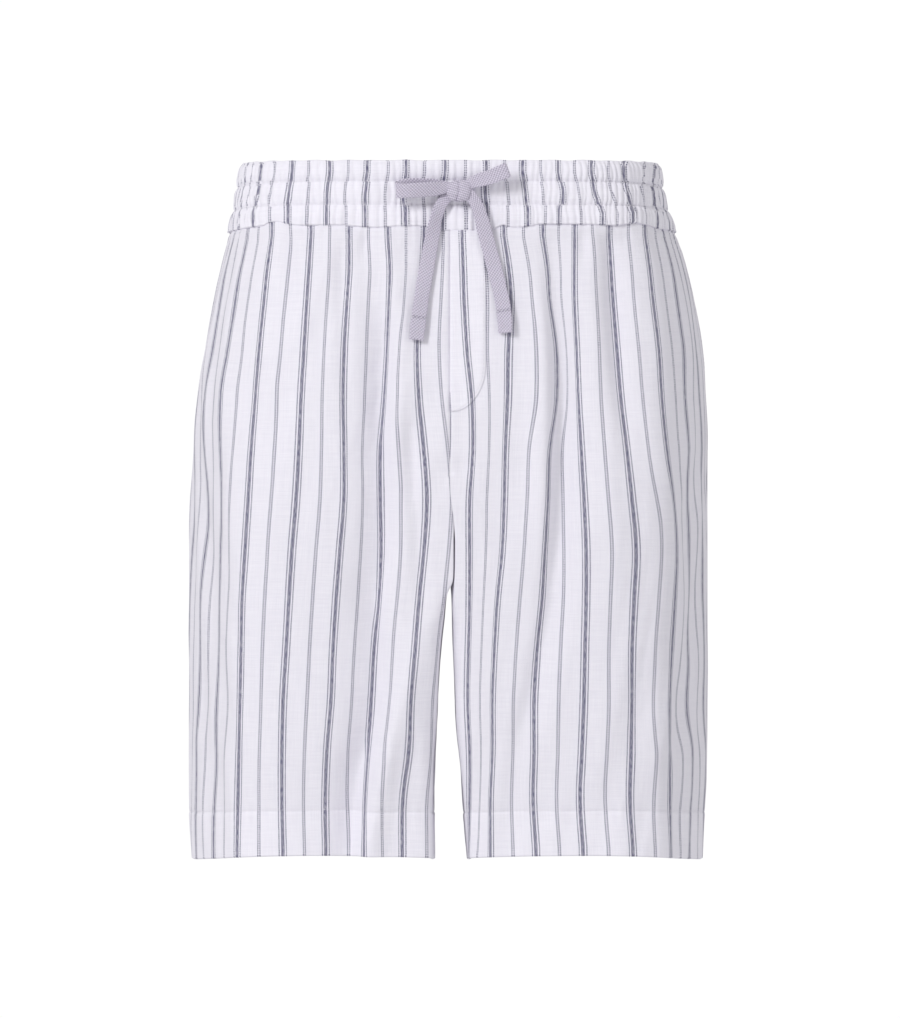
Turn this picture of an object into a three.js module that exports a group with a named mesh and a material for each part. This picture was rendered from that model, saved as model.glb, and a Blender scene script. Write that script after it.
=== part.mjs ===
// Striped linen bermuda shorts on a drawstring waist, filled out as if worn.
// Millimetres, +Z up, the front faces -Y. The origin is the middle of the waistband's opening.
import * as THREE from "three";

// Driving dimensions
const topZ = 23.5; // top edge of the waistband
const waistSeamZ = -24.3; // where the waistband is sewn to the four panels
const crotchZ = -258; // where the four panels meet
const hemZ = -501.3; // lower edge at the side seams
const forkStartZ = -195; // the centre seams start to curve under here
const thighStartZ = -120; // the sides start to turn into the shape of the legs under here
const hemFoldZ = -466; // top of the turned-up hem
const seamGap = 0.3; // between two pieces that are sewn together
const clothThick = 1.5;
const hemThick = 2.4; // the hem is folded double
const waistbandThick = 3;
const hemLift = 7; // the front hem hangs this much higher than the side seams
const hemLiftStartZ = -400; // the front panel is drawn up to it from here down
const hemLiftDepth = 80; // and fully so this far in front of the side seams
const inseamY = 6; // the inseam runs a little behind the middle of the leg

// Outer form, a row for each height: reach to the +X side and to the -X side, and to the front and the back
const sectionRows = [
  { z: 23.5, plusOut: 159.0, minusOut: 158.5, front: 108.0, back: 108.0 },
  { z: 14.7, plusOut: 160.0, minusOut: 160.0, front: 108.5, back: 109.0 },
  { z: 5.6, plusOut: 161.5, minusOut: 161.5, front: 109.0, back: 110.0 },
  { z: -3.5, plusOut: 163.0, minusOut: 162.3, front: 109.5, back: 111.5 },
  { z: -12.7, plusOut: 167.0, minusOut: 165.0, front: 110.5, back: 114.0 },
  { z: -24.3, plusOut: 171.6, minusOut: 168.2, front: 111.6, back: 117.3 },
  { z: -46.0, plusOut: 179.0, minusOut: 173.7, front: 113.0, back: 122.0 },
  { z: -76.5, plusOut: 186.6, minusOut: 180.5, front: 115.0, back: 128.0 },
  { z: -107.0, plusOut: 191.1, minusOut: 185.8, front: 117.0, back: 132.0 },
  { z: -137.0, plusOut: 194.2, minusOut: 191.1, front: 118.0, back: 134.0 },
  { z: -168.0, plusOut: 196.5, minusOut: 194.9, front: 118.5, back: 134.0 },
  { z: -198.0, plusOut: 197.4, minusOut: 197.2, front: 118.0, back: 131.5 },
  { z: -228.0, plusOut: 197.6, minusOut: 199.5, front: 116.5, back: 127.0 },
  { z: -258.0, plusOut: 198.0, minusOut: 200.3, front: 114.0, back: 121.0 },
  { z: -335.0, plusOut: 198.0, minusOut: 200.3, front: 106.0, back: 107.0 },
  { z: -440.0, plusOut: 197.2, minusOut: 200.3, front: 95.0, back: 93.0 },
  { z: -470.0, plusOut: 195.2, minusOut: 200.0, front: 92.0, back: 90.0 },
  { z: -501.3, plusOut: 193.8, minusOut: 198.0, front: 89.0, back: 87.0 },
];

// The gap between the legs, a row for each height: how far each leg's inner side is from the middle
const gapRows = [
  { z: -258.0, plusIn: 0.3, minusIn: 0.4 },
  { z: -292.0, plusIn: 0.4, minusIn: 1.6 },
  { z: -304.0, plusIn: 1.1, minusIn: 4.6 },
  { z: -335.0, plusIn: 1.9, minusIn: 7.8 },
  { z: -365.0, plusIn: 3.4, minusIn: 9.5 },
  { z: -396.0, plusIn: 4.9, minusIn: 10.3 },
  { z: -426.0, plusIn: 8.0, minusIn: 11.8 },
  { z: -456.0, plusIn: 10.3, minusIn: 12.5 },
  { z: -501.3, plusIn: 14.0, minusIn: 12.5 },
];

// A ring's control points from the front seam round the side to the back seam. x is a share of the reach
// to the side, y a share of the front depth where it is negative and of the back depth where it isn't.
const bodyShape = [
  { x: 0, y: -1 },
  { x: 0.13, y: -1 },
  { x: 0.27, y: -1 },
  { x: 0.43, y: -0.995 },
  { x: 0.61, y: -0.965 },
  { x: 0.79, y: -0.87 },
  { x: 0.92, y: -0.62 },
  { x: 0.985, y: -0.28 },
  { x: 1.002, y: 0.06 },
  { x: 0.985, y: 0.4 },
  { x: 0.885, y: 0.72 },
  { x: 0.68, y: 0.92 },
  { x: 0.45, y: 0.995 },
  { x: 0.27, y: 1 },
  { x: 0.13, y: 1 },
  { x: 0, y: 1 },
];
// The same for a leg, where x is a share of the leg's own width from its inner side
const legShape = [
  { x: 0, y: 0 },
  { x: 0, y: -0.8 },
  { x: 0, y: -0.985 },
  { x: 0.14, y: -1 },
  { x: 0.42, y: -1.01 },
  { x: 0.76, y: -1 },
  { x: 0.87, y: -0.7 },
  { x: 0.965, y: -0.22 },
  { x: 1.006, y: 0.16 },
  { x: 0.975, y: 0.55 },
  { x: 0.82, y: 0.95 },
  { x: 0.55, y: 1 },
  { x: 0.2, y: 0.99 },
  { x: 0.04, y: 0.84 },
  { x: 0, y: 0.42 },
  { x: 0, y: 0 },
];
const sideIndex = 8; // the control point at the side seam
const forkPoints = 3; // this many control points at each end follow the curved centre seam
const cornerSharpness = 4; // how late these points spread out into the leg's inner side

// Largest folds of the cloth. A route gives heights and distances from the middle, as seen from the front.
// Depth is negative for a trough and positive for a ridge. The widths are those of the flank towards the
// middle and of the flank towards the side.
const foldRows = [
  { panel: "front_right", depth: -6.5, inner: 13, outer: 14, route: [[-30, 66], [-123, 57], [-197, 67], [-340, 63]] },
  { panel: "front_right", depth: 2.5, inner: 14, outer: 12, route: [[-60, 40], [-180, 37], [-300, 38]] },
  { panel: "front_right", depth: -2.5, inner: 7, outer: 7, route: [[-26, 84], [-123, 86], [-150, 86]] },
  { panel: "front_right", depth: -5, inner: 18, outer: 20, route: [[-300, 76], [-420, 74], [-600, 71]] },
  { panel: "front_right", depth: -2.5, inner: 6, outer: 6, route: [[-24, 121], [-100, 122]] },
  { panel: "front_right", depth: -2, inner: 5, outer: 7, route: [[-160, 31], [-234, 26], [-300, 22]] },
  {
    panel: "front_left",
    depth: -9,
    inner: 8,
    outer: 17,
    route: [[-24, 75], [-101, 83], [-182, 85], [-227, 83], [-290, 78], [-364, 60], [-420, 50]],
  },
  { panel: "front_left", depth: 2.5, inner: 16, outer: 10, route: [[-60, 60], [-182, 64], [-300, 56]] },
  { panel: "front_left", depth: -5, inner: 8, outer: 13, route: [[-20, 117], [-67, 121], [-123, 123], [-200, 133]] },
  { panel: "front_left", depth: -3, inner: 12, outer: 14, route: [[-200, 142], [-290, 142], [-350, 146]] },
  { panel: "front_left", depth: -3, inner: 18, outer: 18, route: [[-320, 138], [-430, 140], [-600, 140]] },
  { panel: "back_right", depth: -6, inner: 14, outer: 14, route: [[-24, 74], [-160, 78], [-330, 66]] },
  { panel: "back_right", depth: -4, inner: 10, outer: 13, route: [[-24, 120], [-120, 124], [-210, 130]] },
  { panel: "back_right", depth: -5, inner: 20, outer: 20, route: [[-280, 100], [-420, 96], [-600, 92]] },
  { panel: "back_left", depth: -6, inner: 12, outer: 15, route: [[-24, 66], [-150, 72], [-300, 70]] },
  { panel: "back_left", depth: -4, inner: 9, outer: 12, route: [[-24, 112], [-130, 118], [-220, 122]] },
  { panel: "back_left", depth: -5, inner: 20, outer: 22, route: [[-270, 92], [-400, 98], [-600, 96]] },
];
const foldStart = 24; // a fold comes in over this length
const foldEnd = 80; // and dies out over this one
const foldTopLength = 12; // folds are held flat over this length under the waist seam
const foldSideShare = 0.08; // and over this share of a panel beside its side seam

// Waistband: three elastic channels between two rows of stitching. Puff is how far a row stands out.
const waistbandRows = [
  { z: 23.5, puff: -0.4, gather: 0.35 },
  { z: 16.0, puff: 1.9, gather: 1 },
  { z: 7.8, puff: -0.5, gather: 0.4 },
  { z: -1.0, puff: 2.1, gather: 1 },
  { z: -9.7, puff: -0.5, gather: 0.4 },
  { z: -17.0, puff: 1.4, gather: 0.8 },
  { z: -24.0, puff: 0.6, gather: 0.5 },
];
const gathersEachQuarter = 72; // from the middle to a side seam; every second one is a ridge
const gatherHeight = 0.75;

// Pocket mouth: a slanting edge cut from the front panel, from the waist seam down to the side seam
const mouthTopInset = 34; // in front of the side seam at the waist
const mouthEndZ = -168;
const facingTuck = 9; // how far the facing reaches in under the front panel
const facingDrop = 2; // the facing lies this far under the front panel's face
const facingSeamDrop = 0.25; // and this far at the side seam
const facingSlope = 1.4; // how soon it has dropped, from the side seam to the mouth
const facingBelow = 3; // its last row lies this far above the mouth's lower end

// Mock fly, on the +X front panel
const flyWidth = 26;
const flyEndZ = -163;
const flyCurve = 34; // height of the curve at its foot
const flyThick = 1;

// Drawstring, a flat woven tape tied in a bow
const tapeWidth = 11;
const tapeThick = 1.8;
const foldedThick = 2.8; // the free ends are folded over and stitched
const foldedShare = 0.17; // of a free end's length
const knot = { x: 7, y: -117.3, z: -0.2, width: 18.5, depth: 9.5, height: 14.8 };
const knotSquareness = 0.6; // 1 is an ellipsoid, and nearer 0 is a block

const linen = { color: 0xece9f3, roughness: 0.92, metalness: 0 };
const tapeYarn = { color: 0xb5b0be, roughness: 0.9, metalness: 0 };

const clamp01 = (t) => Math.min(1, Math.max(0, t));
const smooth = (t) => clamp01(t) ** 2 * (3 - 2 * clamp01(t));
const mix = (a, b, t) => a + (b - a) * t;

// Reads one column of a table at a height, on a smooth curve through its rows, which run downwards.
function tableAt(rows, column, z) {
  const last = rows.length - 1;
  if (z >= rows[0].z) return rows[0][column];
  if (z <= rows[last].z) return rows[last][column];
  const i = rows.findIndex((row) => row.z < z) - 1;
  const slope = (k) => {
    const a = rows[Math.max(0, k - 1)];
    const b = rows[Math.min(last, k + 1)];
    return (b[column] - a[column]) / (b.z - a.z);
  };
  const span = rows[i + 1].z - rows[i].z;
  const t = (z - rows[i].z) / span;
  const [p, q] = [rows[i][column], rows[i + 1][column]];
  return (
    (2 * t ** 3 - 3 * t ** 2 + 1) * p +
    (t ** 3 - 2 * t ** 2 + t) * span * slope(i) +
    (3 * t ** 2 - 2 * t ** 3) * q +
    (t ** 3 - t ** 2) * span * slope(i + 1)
  );
}

// How far a centre seam has curved under towards the inseam: 0 above the fork, 1 below the crotch
function forkShare(z) {
  const drop = clamp01((forkStartZ - z) / (forkStartZ - crotchZ));
  return 1 - Math.sqrt(1 - drop * drop);
}

// One half ring of the outer form, as evenly spaced points with the arc length to each. Under forkStartZ
// the two halves lie against each other in the middle, as deep as the centre seam has curved under.
const samplesEachSpan = 12;
const closedDepth = 16; // from this depth on the halves lie flat against each other
function halfRing(side, z) {
  const name = side > 0 ? "plus" : "minus";
  const out = tableAt(sectionRows, name + "Out", z);
  const inner = tableAt(gapRows, name + "In", z);
  const front = tableAt(sectionRows, "front", z);
  const back = tableAt(sectionRows, "back", z);
  const fork = forkShare(z);
  const thigh = smooth((thighStartZ - z) / (thighStartZ - crotchZ));
  const corner = smooth((forkStartZ - z) / (forkStartZ - crotchZ)) ** cornerSharpness;
  const last = bodyShape.length - 1;
  const control = bodyShape.map((body, i) => {
    const leg = legShape[i];
    const edge = leg.y < 0 || i === 0 ? -front : back;
    const under = fork * (inseamY - edge);
    const fromEnd = Math.min(i, last - i);
    const legX = inner + leg.x * (out - inner);
    if (fromEnd === 0) return { x: mix(seamGap / 2, inner, fork), y: edge + under };
    if (fromEnd < forkPoints) {
      const closed = smooth(Math.abs(under) / closedDepth);
      const y = edge + (1 - Math.abs(leg.y)) * (inseamY - edge) * corner;
      return { x: mix(body.x * out, fromEnd === 1 ? legX : legX * corner, closed), y };
    }
    const legY = inseamY + Math.abs(leg.y) * (edge - inseamY);
    return {
      x: mix(seamGap / 2 + body.x * out, legX, thigh),
      y: mix(body.y * (body.y < 0 ? front : back), legY, thigh),
    };
  });
  const at = (i, key) => {
    if (i < 0) return 2 * control[0][key] - control[1][key];
    if (i > last) return 2 * control[last][key] - control[last - 1][key];
    return control[i][key];
  };
  const points = [];
  for (let k = 0; k <= last * samplesEachSpan; k++) {
    const i = Math.min(last - 1, Math.floor(k / samplesEachSpan));
    const t = k / samplesEachSpan - i;
    const weights = [(1 - t) ** 3, 3 * t ** 3 - 6 * t ** 2 + 4, 1 + 3 * t + 3 * t ** 2 - 3 * t ** 3, t ** 3];
    const value = (key) => weights.reduce((sum, w, n) => sum + (w * at(i - 1 + n, key)) / 6, 0);
    points.push({ x: value("x"), y: value("y") });
  }
  const lengths = [0];
  for (let k = 1; k < points.length; k++)
    lengths.push(lengths[k - 1] + Math.hypot(points[k].x - points[k - 1].x, points[k].y - points[k - 1].y));
  const sideLength = lengths[sideIndex * samplesEachSpan];
  const under = { front: fork * (front + inseamY), back: fork * (back - inseamY) };
  return { points, lengths, under, sideLength, fullLength: lengths.at(-1) };
}

const ringCache = new Map();
function ringAt(side, z) {
  const key = side + "/" + z.toFixed(3);
  if (!ringCache.has(key)) ringCache.set(key, halfRing(side, z));
  return ringCache.get(key);
}

function alongRing(side, z, length) {
  const { points, lengths, fullLength } = ringAt(side, z);
  const wanted = Math.min(Math.max(length, 0), fullLength - 1e-6);
  const k = lengths.findIndex((l) => l > wanted) - 1;
  const t = (wanted - lengths[k]) / (lengths[k + 1] - lengths[k]);
  const [from, to] = [points[k], points[k + 1]];
  return new THREE.Vector3(side * mix(from.x, to.x, t), mix(from.y, to.y, t), z);
}

// Length along the ring for a share of a panel's width, from 0 at the centre seam or inseam to 1 at the
// side seam. The columns nearest the centre seam take up what has curved under, so the others stay upright.
const underShare = 0.3;
function panelLength(part, side, z, share) {
  const { sideLength, fullLength, under } = ringAt(side, z);
  const width = part === "front" ? sideLength : fullLength - sideLength;
  const deep = under[part];
  const length = share * (width - deep) + deep * Math.min(1, share / underShare);
  const inset = mix(seamGap / 2, -seamGap / 2, share);
  return part === "front" ? length + inset : fullLength - length - inset;
}

const normalStep = 2;
function formNormal(part, side, z, share) {
  const length = panelLength(part, side, z, share);
  const across = alongRing(side, z, length + normalStep).sub(alongRing(side, z, length - normalStep));
  const high = Math.min(topZ, z + normalStep);
  const low = Math.max(hemZ, z - normalStep);
  const up = alongRing(side, high, panelLength(part, side, high, share)).sub(
    alongRing(side, low, panelLength(part, side, low, share)),
  );
  return across.cross(up).normalize().multiplyScalar(side);
}

function routeAt(route, z) {
  const i = Math.max(1, Math.min(route.length - 1, route.findIndex((p) => p[0] < z)));
  const t = smooth((z - route[i - 1][0]) / (route[i][0] - route[i - 1][0]));
  return mix(route[i - 1][1], route[i][1], t);
}

function foldDepth(panel, z, x) {
  let depth = 0;
  for (const { panel: on, depth: full, inner, outer, route } of foldRows) {
    const [start, end] = [route[0][0], route.at(-1)[0]];
    if (on !== panel || z > start || z < end) continue;
    const off = Math.abs(x) - routeAt(route, z);
    const fade = smooth((start - z) / foldStart) * smooth((z - end) / foldEnd);
    depth += full * fade * Math.exp(-((off / (off > 0 ? outer : inner)) ** 2));
  }
  return depth;
}

// A point of the cloth's face. Folds die out at a panel's edges, so that neighbours still meet.
function clothPoint(part, side, z, share, inward = 0) {
  const point = alongRing(side, z, panelLength(part, side, z, share));
  const normal = formNormal(part, side, z, share);
  const calm = smooth((1 - share) / foldSideShare) * smooth((waistSeamZ - z) / foldTopLength);
  const depth = foldDepth(part + (side > 0 ? "_left" : "_right"), z, point.x);
  if (part === "front") {
    const drop = (hemLiftStartZ - z) / (hemLiftStartZ - hemZ);
    point.z += hemLift * smooth(-point.y / hemLiftDepth) * smooth(drop);
  }
  point.addScaledVector(normal, depth * calm - inward);
  if (Math.abs(point.x) < seamGap / 2) point.x = (side * seamGap) / 2;
  return point;
}

// Makes one closed body from two grids of points with the same rows and columns: a wall with its rims.
function wallMesh(name, finish, outer, inner) {
  const rows = outer.length;
  const columns = outer[0].length;
  const layer = rows * columns;
  const index = [];
  const quad = (a, b, c, d) => index.push(a, b, c, a, c, d);
  const o = (r, c) => r * columns + c;
  const n = (r, c) => layer + r * columns + c;
  for (let r = 0; r < rows - 1; r++)
    for (let c = 0; c < columns - 1; c++) {
      quad(o(r, c), o(r + 1, c), o(r + 1, c + 1), o(r, c + 1));
      quad(n(r, c), n(r, c + 1), n(r + 1, c + 1), n(r + 1, c));
    }
  for (let c = 0; c < columns - 1; c++) {
    quad(o(0, c), o(0, c + 1), n(0, c + 1), n(0, c));
    quad(o(rows - 1, c), n(rows - 1, c), n(rows - 1, c + 1), o(rows - 1, c + 1));
  }
  for (let r = 0; r < rows - 1; r++) {
    quad(o(r, 0), n(r, 0), n(r + 1, 0), o(r + 1, 0));
    quad(o(r, columns - 1), o(r + 1, columns - 1), n(r + 1, columns - 1), n(r, columns - 1));
  }
  return closedMesh(name, finish, [...outer.flat(), ...inner.flat()], index);
}

// A named mesh from points and triangles, turned the right way out by the sign of its volume.
function closedMesh(name, finish, points, index) {
  let volume = 0;
  for (let i = 0; i < index.length; i += 3) {
    const [a, b, c] = [points[index[i]], points[index[i + 1]], points[index[i + 2]]];
    volume += a.dot(b.clone().cross(c));
  }
  if (volume < 0) index.reverse();
  const geometry = new THREE.BufferGeometry().setFromPoints(points);
  geometry.setIndex(index);
  geometry.computeVertexNormals();
  const mesh = new THREE.Mesh(geometry, new THREE.MeshStandardMaterial(finish));
  mesh.name = name;
  return mesh;
}

const sequence = (count, from, to) => Array.from({ length: count + 1 }, (_, i) => mix(from, to, i / count));

// Heights of a panel's rows. They lie closer where the centre seam curves under to the crotch.
const hemStep = 2;
function panelHeights() {
  const top = waistSeamZ - seamGap / 2;
  const above = sequence(8, top, forkStartZ);
  const fork = sequence(5, 0, Math.PI / 2).map((a) => forkStartZ + (crotchZ - forkStartZ) * Math.sin(a));
  const below = [...sequence(6, crotchZ, hemFoldZ), hemFoldZ - hemStep, hemZ];
  return [...above, ...fork.slice(1), ...below.slice(1)];
}

function mouthInset(z) {
  return mouthTopInset * Math.max(0, (z - mouthEndZ) / (waistSeamZ - mouthEndZ));
}

const frontColumns = 30;
const backColumns = 24;
function panelMesh(part, side) {
  const outer = [];
  const inner = [];
  for (const z of panelHeights()) {
    const width = ringAt(side, z).sideLength;
    const end = part === "front" ? 1 - mouthInset(z) / width : 1;
    const shares = sequence(part === "front" ? frontColumns : backColumns, 0, end);
    const thick = z < hemFoldZ ? hemThick : clothThick;
    outer.push(shares.map((share) => clothPoint(part, side, z, share)));
    inner.push(shares.map((share) => clothPoint(part, side, z, share, thick)));
    inner.at(-1).forEach((point, i) => {
      if (z === hemZ || z > waistSeamZ - 1) point.z = outer.at(-1)[i].z;
    });
  }
  return wallMesh(part + (side > 0 ? "_left" : "_right"), linen, outer, inner);
}

// The piece seen through the pocket mouth. It tucks in under the front panel and meets the side seam.
function pocketFacing(side) {
  const heights = [...panelHeights().filter((z) => z > mouthEndZ), mouthEndZ + facingBelow];
  const outer = [];
  const inner = [];
  for (const z of heights) {
    const width = ringAt(side, z).sideLength;
    const inset = mouthInset(z);
    const shares = sequence(5, 1 - (inset + facingTuck) / width, 1);
    const drop = (share) => {
      const under = clamp01(((1 - share) * width) / inset);
      return mix(facingSeamDrop, facingDrop, smooth(under * facingSlope));
    };
    outer.push(shares.map((share) => clothPoint("front", side, z, share, drop(share))));
    inner.push(shares.map((share) => clothPoint("front", side, z, share, drop(share) + clothThick)));
  }
  return wallMesh("pocket_facing_" + (side > 0 ? "left" : "right"), linen, outer, inner);
}

// The fly's stitched-down layer, which lies on the +X front panel beside the centre seam.
function fly() {
  const heights = [...sequence(6, waistSeamZ - seamGap / 2, flyEndZ + flyCurve), ...flyFoot()];
  const grid = (lift) =>
    heights.map((z) => {
      const width = ringAt(1, z).sideLength;
      const foot = clamp01((flyEndZ + flyCurve - z) / flyCurve);
      const reach = flyWidth * Math.sqrt(1 - (foot * 0.97) ** 2);
      return sequence(4, 0, reach / width).map((share) => clothPoint("front", 1, z, share, -lift));
    });
  return wallMesh("fly", linen, grid(seamGap + flyThick), grid(seamGap));
}

function flyFoot() {
  return sequence(5, 0, Math.PI / 2)
    .slice(1)
    .map((angle) => flyEndZ + flyCurve - flyCurve * Math.sin(angle));
}

// Height of one gather at a share of the half ring. Every gather is a little different from the next.
function gatherWave(count) {
  const ridge = count % 2 === 0 ? 1 : -1;
  return ridge * (0.75 + 0.25 * Math.sin(count * 2.4));
}

// A quarter of the waistband. The gathers are raised in its outer face over a plain inside.
function waistband(part, side) {
  const columns = gathersEachQuarter;
  const place = (z, column, inward) => {
    const { sideLength, fullLength } = ringAt(side, z);
    const share = column / columns;
    const length =
      part === "front"
        ? mix(0, sideLength - seamGap / 2, share)
        : mix(fullLength, sideLength + seamGap / 2, share);
    const point = alongRing(side, z, length);
    const across = alongRing(side, z, length + normalStep).sub(alongRing(side, z, length - normalStep));
    const normal = new THREE.Vector3(across.y * side, -across.x * side, 0).normalize();
    if (column === 0) normal.set(0, part === "front" ? -1 : 1, 0);
    return point.addScaledVector(normal, -inward);
  };
  const counts = sequence(columns, 0, columns);
  const wave = (column) => gatherWave(columns + side * column) * gatherHeight;
  const outer = waistbandRows.map(({ z, puff, gather }) =>
    counts.map((column) => place(z, column, -puff - wave(column) * gather)),
  );
  const insideHeights = [topZ, waistbandRows[3].z, waistbandRows.at(-1).z];
  const inner = insideHeights.map((z) => counts.map((column) => place(z, column, waistbandThick)));
  return bandMesh("waistband_" + part + (side > 0 ? "_left" : "_right"), outer, inner);
}

// Like wallMesh, but the inner face has only three rows: a top, a middle and a bottom one.
function bandMesh(name, outer, inner) {
  const rows = outer.length;
  const columns = outer[0].length;
  const o = (r, c) => r * columns + c;
  const n = (r, c) => (rows + r) * columns + c;
  const index = [];
  const quad = (a, b, c, d) => index.push(a, b, c, a, c, d);
  for (let c = 0; c < columns - 1; c++) {
    for (let r = 0; r < rows - 1; r++) quad(o(r, c), o(r + 1, c), o(r + 1, c + 1), o(r, c + 1));
    for (let r = 0; r < 2; r++) quad(n(r, c), n(r, c + 1), n(r + 1, c + 1), n(r + 1, c));
    quad(o(0, c), o(0, c + 1), n(0, c + 1), n(0, c));
    quad(o(rows - 1, c), n(2, c), n(2, c + 1), o(rows - 1, c + 1));
  }
  const end = columns - 1;
  for (let r = 0; r < rows - 1; r++) {
    index.push(o(r, 0), n(1, 0), o(r + 1, 0));
    index.push(o(r, end), o(r + 1, end), n(1, end));
  }
  index.push(o(0, 0), n(0, 0), n(1, 0), o(rows - 1, 0), n(1, 0), n(2, 0));
  index.push(o(0, end), n(1, end), n(0, end), o(rows - 1, end), n(2, end), n(1, end));
  return closedMesh(name, linen, [...outer.flat(), ...inner.flat()], index);
}

// A flat tape along a route. Each row gives a place and the way its width runs there.
function tape(name, route, steps, foldedEnd = 0) {
  const centre = new THREE.CatmullRomCurve3(route.map((p) => new THREE.Vector3(p.x, p.y, p.z)));
  const across = new THREE.CatmullRomCurve3(route.map((p) => new THREE.Vector3(p.wx, p.wy, p.wz)));
  const section = [
    [-0.5, -0.25],
    [-0.44, -0.5],
    [0.44, -0.5],
    [0.5, -0.25],
    [0.5, 0.25],
    [0.44, 0.5],
    [-0.44, 0.5],
    [-0.5, 0.25],
  ];
  const points = [];
  const index = [];
  const size = section.length;
  for (let k = 0; k <= steps; k++) {
    const t = k / steps;
    const tangent = centre.getTangent(t);
    const width = across.getPoint(t).addScaledVector(tangent, -across.getPoint(t).dot(tangent)).normalize();
    const face = new THREE.Vector3().crossVectors(tangent, width);
    const thick = t > 1 - foldedEnd ? foldedThick : tapeThick;
    for (const [u, v] of section)
      points.push(
        centre
          .getPoint(t)
          .addScaledVector(width, u * tapeWidth)
          .addScaledVector(face, v * thick),
      );
  }
  for (let k = 0; k < steps; k++)
    for (let i = 0; i < size; i++) {
      const j = (i + 1) % size;
      index.push(k * size + i, k * size + j, (k + 1) * size + j);
      index.push(k * size + i, (k + 1) * size + j, (k + 1) * size + i);
    }
  for (let i = 1; i < size - 1; i++) {
    index.push(0, i + 1, i);
    index.push(steps * size, steps * size + i, steps * size + i + 1);
  }
  return closedMesh(name, tapeYarn, points, index);
}

// The knot: a block with rounded sides that the tape is wrapped round.
function knotMesh() {
  const geometry = new THREE.SphereGeometry(1, 16, 10);
  const place = geometry.getAttribute("position");
  const soften = (v) => Math.sign(v) * Math.abs(v) ** knotSquareness;
  for (let i = 0; i < place.count; i++)
    place.setXYZ(
      i,
      (soften(place.getX(i)) * knot.width) / 2,
      (soften(place.getZ(i)) * knot.depth) / 2,
      (-soften(place.getY(i)) * knot.height) / 2,
    );
  const mesh = new THREE.Mesh(geometry, new THREE.MeshStandardMaterial(tapeYarn));
  mesh.name = "drawstring_knot";
  mesh.position.set(knot.x, knot.y, knot.z);
  return mesh;
}

// Routes of the bow and its two free ends, chosen by eye: a place, and the way the tape's width runs
const loopRight = [
  { x: -2.6, y: -116.2, z: 3.2, wx: 0, wy: 0.1, wz: 1 },
  { x: -12, y: -115.9, z: 3.9, wx: 0, wy: 0.1, wz: 1 },
  { x: -23, y: -116.6, z: 4.5, wx: 0, wy: 0.2, wz: 1 },
  { x: -33, y: -117.6, z: 3.6, wx: 0, wy: 0.2, wz: 1 },
  { x: -38, y: -119.6, z: 2, wx: 0, wy: 0.1, wz: 1 },
  { x: -39.3, y: -122.2, z: 0.6, wx: 0, wy: 0, wz: 1 },
  { x: -37.4, y: -124.6, z: -0.2, wx: 0, wy: 0, wz: 1 },
  { x: -30, y: -125.4, z: -0.1, wx: 0, wy: 0, wz: 1 },
  { x: -20, y: -124, z: 0.6, wx: 0, wy: -0.1, wz: 1 },
  { x: -10, y: -121.2, z: 1.3, wx: 0, wy: -0.1, wz: 1 },
  { x: -2.6, y: -118.7, z: 2, wx: 0, wy: 0, wz: 1 },
];
const loopLeft = [
  { x: 15.8, y: -117.3, z: 5.1, wx: -0.31, wy: 0, wz: 0.95 },
  { x: 22, y: -119.2, z: 7.2, wx: -0.31, wy: 0, wz: 0.95 },
  { x: 31, y: -121.4, z: 10.6, wx: -0.35, wy: 0, wz: 0.95 },
  { x: 38.5, y: -123.2, z: 13.6, wx: -0.37, wy: 0, wz: 0.95 },
  { x: 41.8, y: -124.6, z: 14.9, wx: -0.37, wy: 0, wz: 0.95 },
  { x: 42.6, y: -126.2, z: 15.2, wx: -0.37, wy: 0, wz: 0.95 },
  { x: 41.4, y: -127.5, z: 14.6, wx: -0.37, wy: 0, wz: 0.95 },
  { x: 37, y: -127.2, z: 12.9, wx: -0.37, wy: 0, wz: 0.95 },
  { x: 30, y: -125, z: 10.1, wx: -0.35, wy: 0, wz: 0.95 },
  { x: 22.5, y: -122.3, z: 7.3, wx: -0.31, wy: 0, wz: 0.95 },
  { x: 16, y: -119.6, z: 5, wx: -0.31, wy: 0, wz: 0.95 },
];
const tailRight = [
  { x: -3.4, y: -115.2, z: -5.3, wx: 0.9, wy: 0, wz: -0.45 },
  { x: -7.2, y: -116.6, z: -11.4, wx: 0.9, wy: 0.2, wz: -0.45 },
  { x: -10.7, y: -117.4, z: -21.7, wx: 1, wy: 0.45, wz: -0.3 },
  { x: -13.6, y: -116.4, z: -36, wx: 1, wy: 0.2, wz: -0.22 },
  { x: -16.3, y: -116, z: -51.3, wx: 1, wy: 0, wz: -0.18 },
  { x: -18.9, y: -116.9, z: -66, wx: 1, wy: 0, wz: -0.17 },
  { x: -21.3, y: -118.8, z: -80.9, wx: 1, wy: 0.15, wz: -0.16 },
  { x: -23.3, y: -120.1, z: -96, wx: 1, wy: 0.1, wz: -0.12 },
  { x: -24.8, y: -121, z: -110.2, wx: 1, wy: 0.1, wz: -0.1 },
];
const tailLeft = [
  { x: 14.5, y: -118.4, z: -6.8, wx: 0.9, wy: 0, wz: 0.45 },
  { x: 18.4, y: -118.8, z: -12, wx: 0.9, wy: 0, wz: 0.5 },
  { x: 23.3, y: -118, z: -21.7, wx: 0.95, wy: 0, wz: 0.38 },
  { x: 27.4, y: -117, z: -36.5, wx: 0.96, wy: 0, wz: 0.28 },
  { x: 31.5, y: -116.6, z: -51.3, wx: 0.97, wy: 0, wz: 0.25 },
  { x: 35.2, y: -117.8, z: -66.1, wx: 0.97, wy: -0.1, wz: 0.24 },
  { x: 38.6, y: -119.4, z: -80.9, wx: 0.95, wy: -0.15, wz: 0.18 },
  { x: 40.6, y: -120.9, z: -95.7, wx: 0.92, wy: -0.25, wz: 0.08 },
  { x: 41.1, y: -121.7, z: -105, wx: 0.9, wy: -0.3, wz: 0.04 },
];

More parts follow.
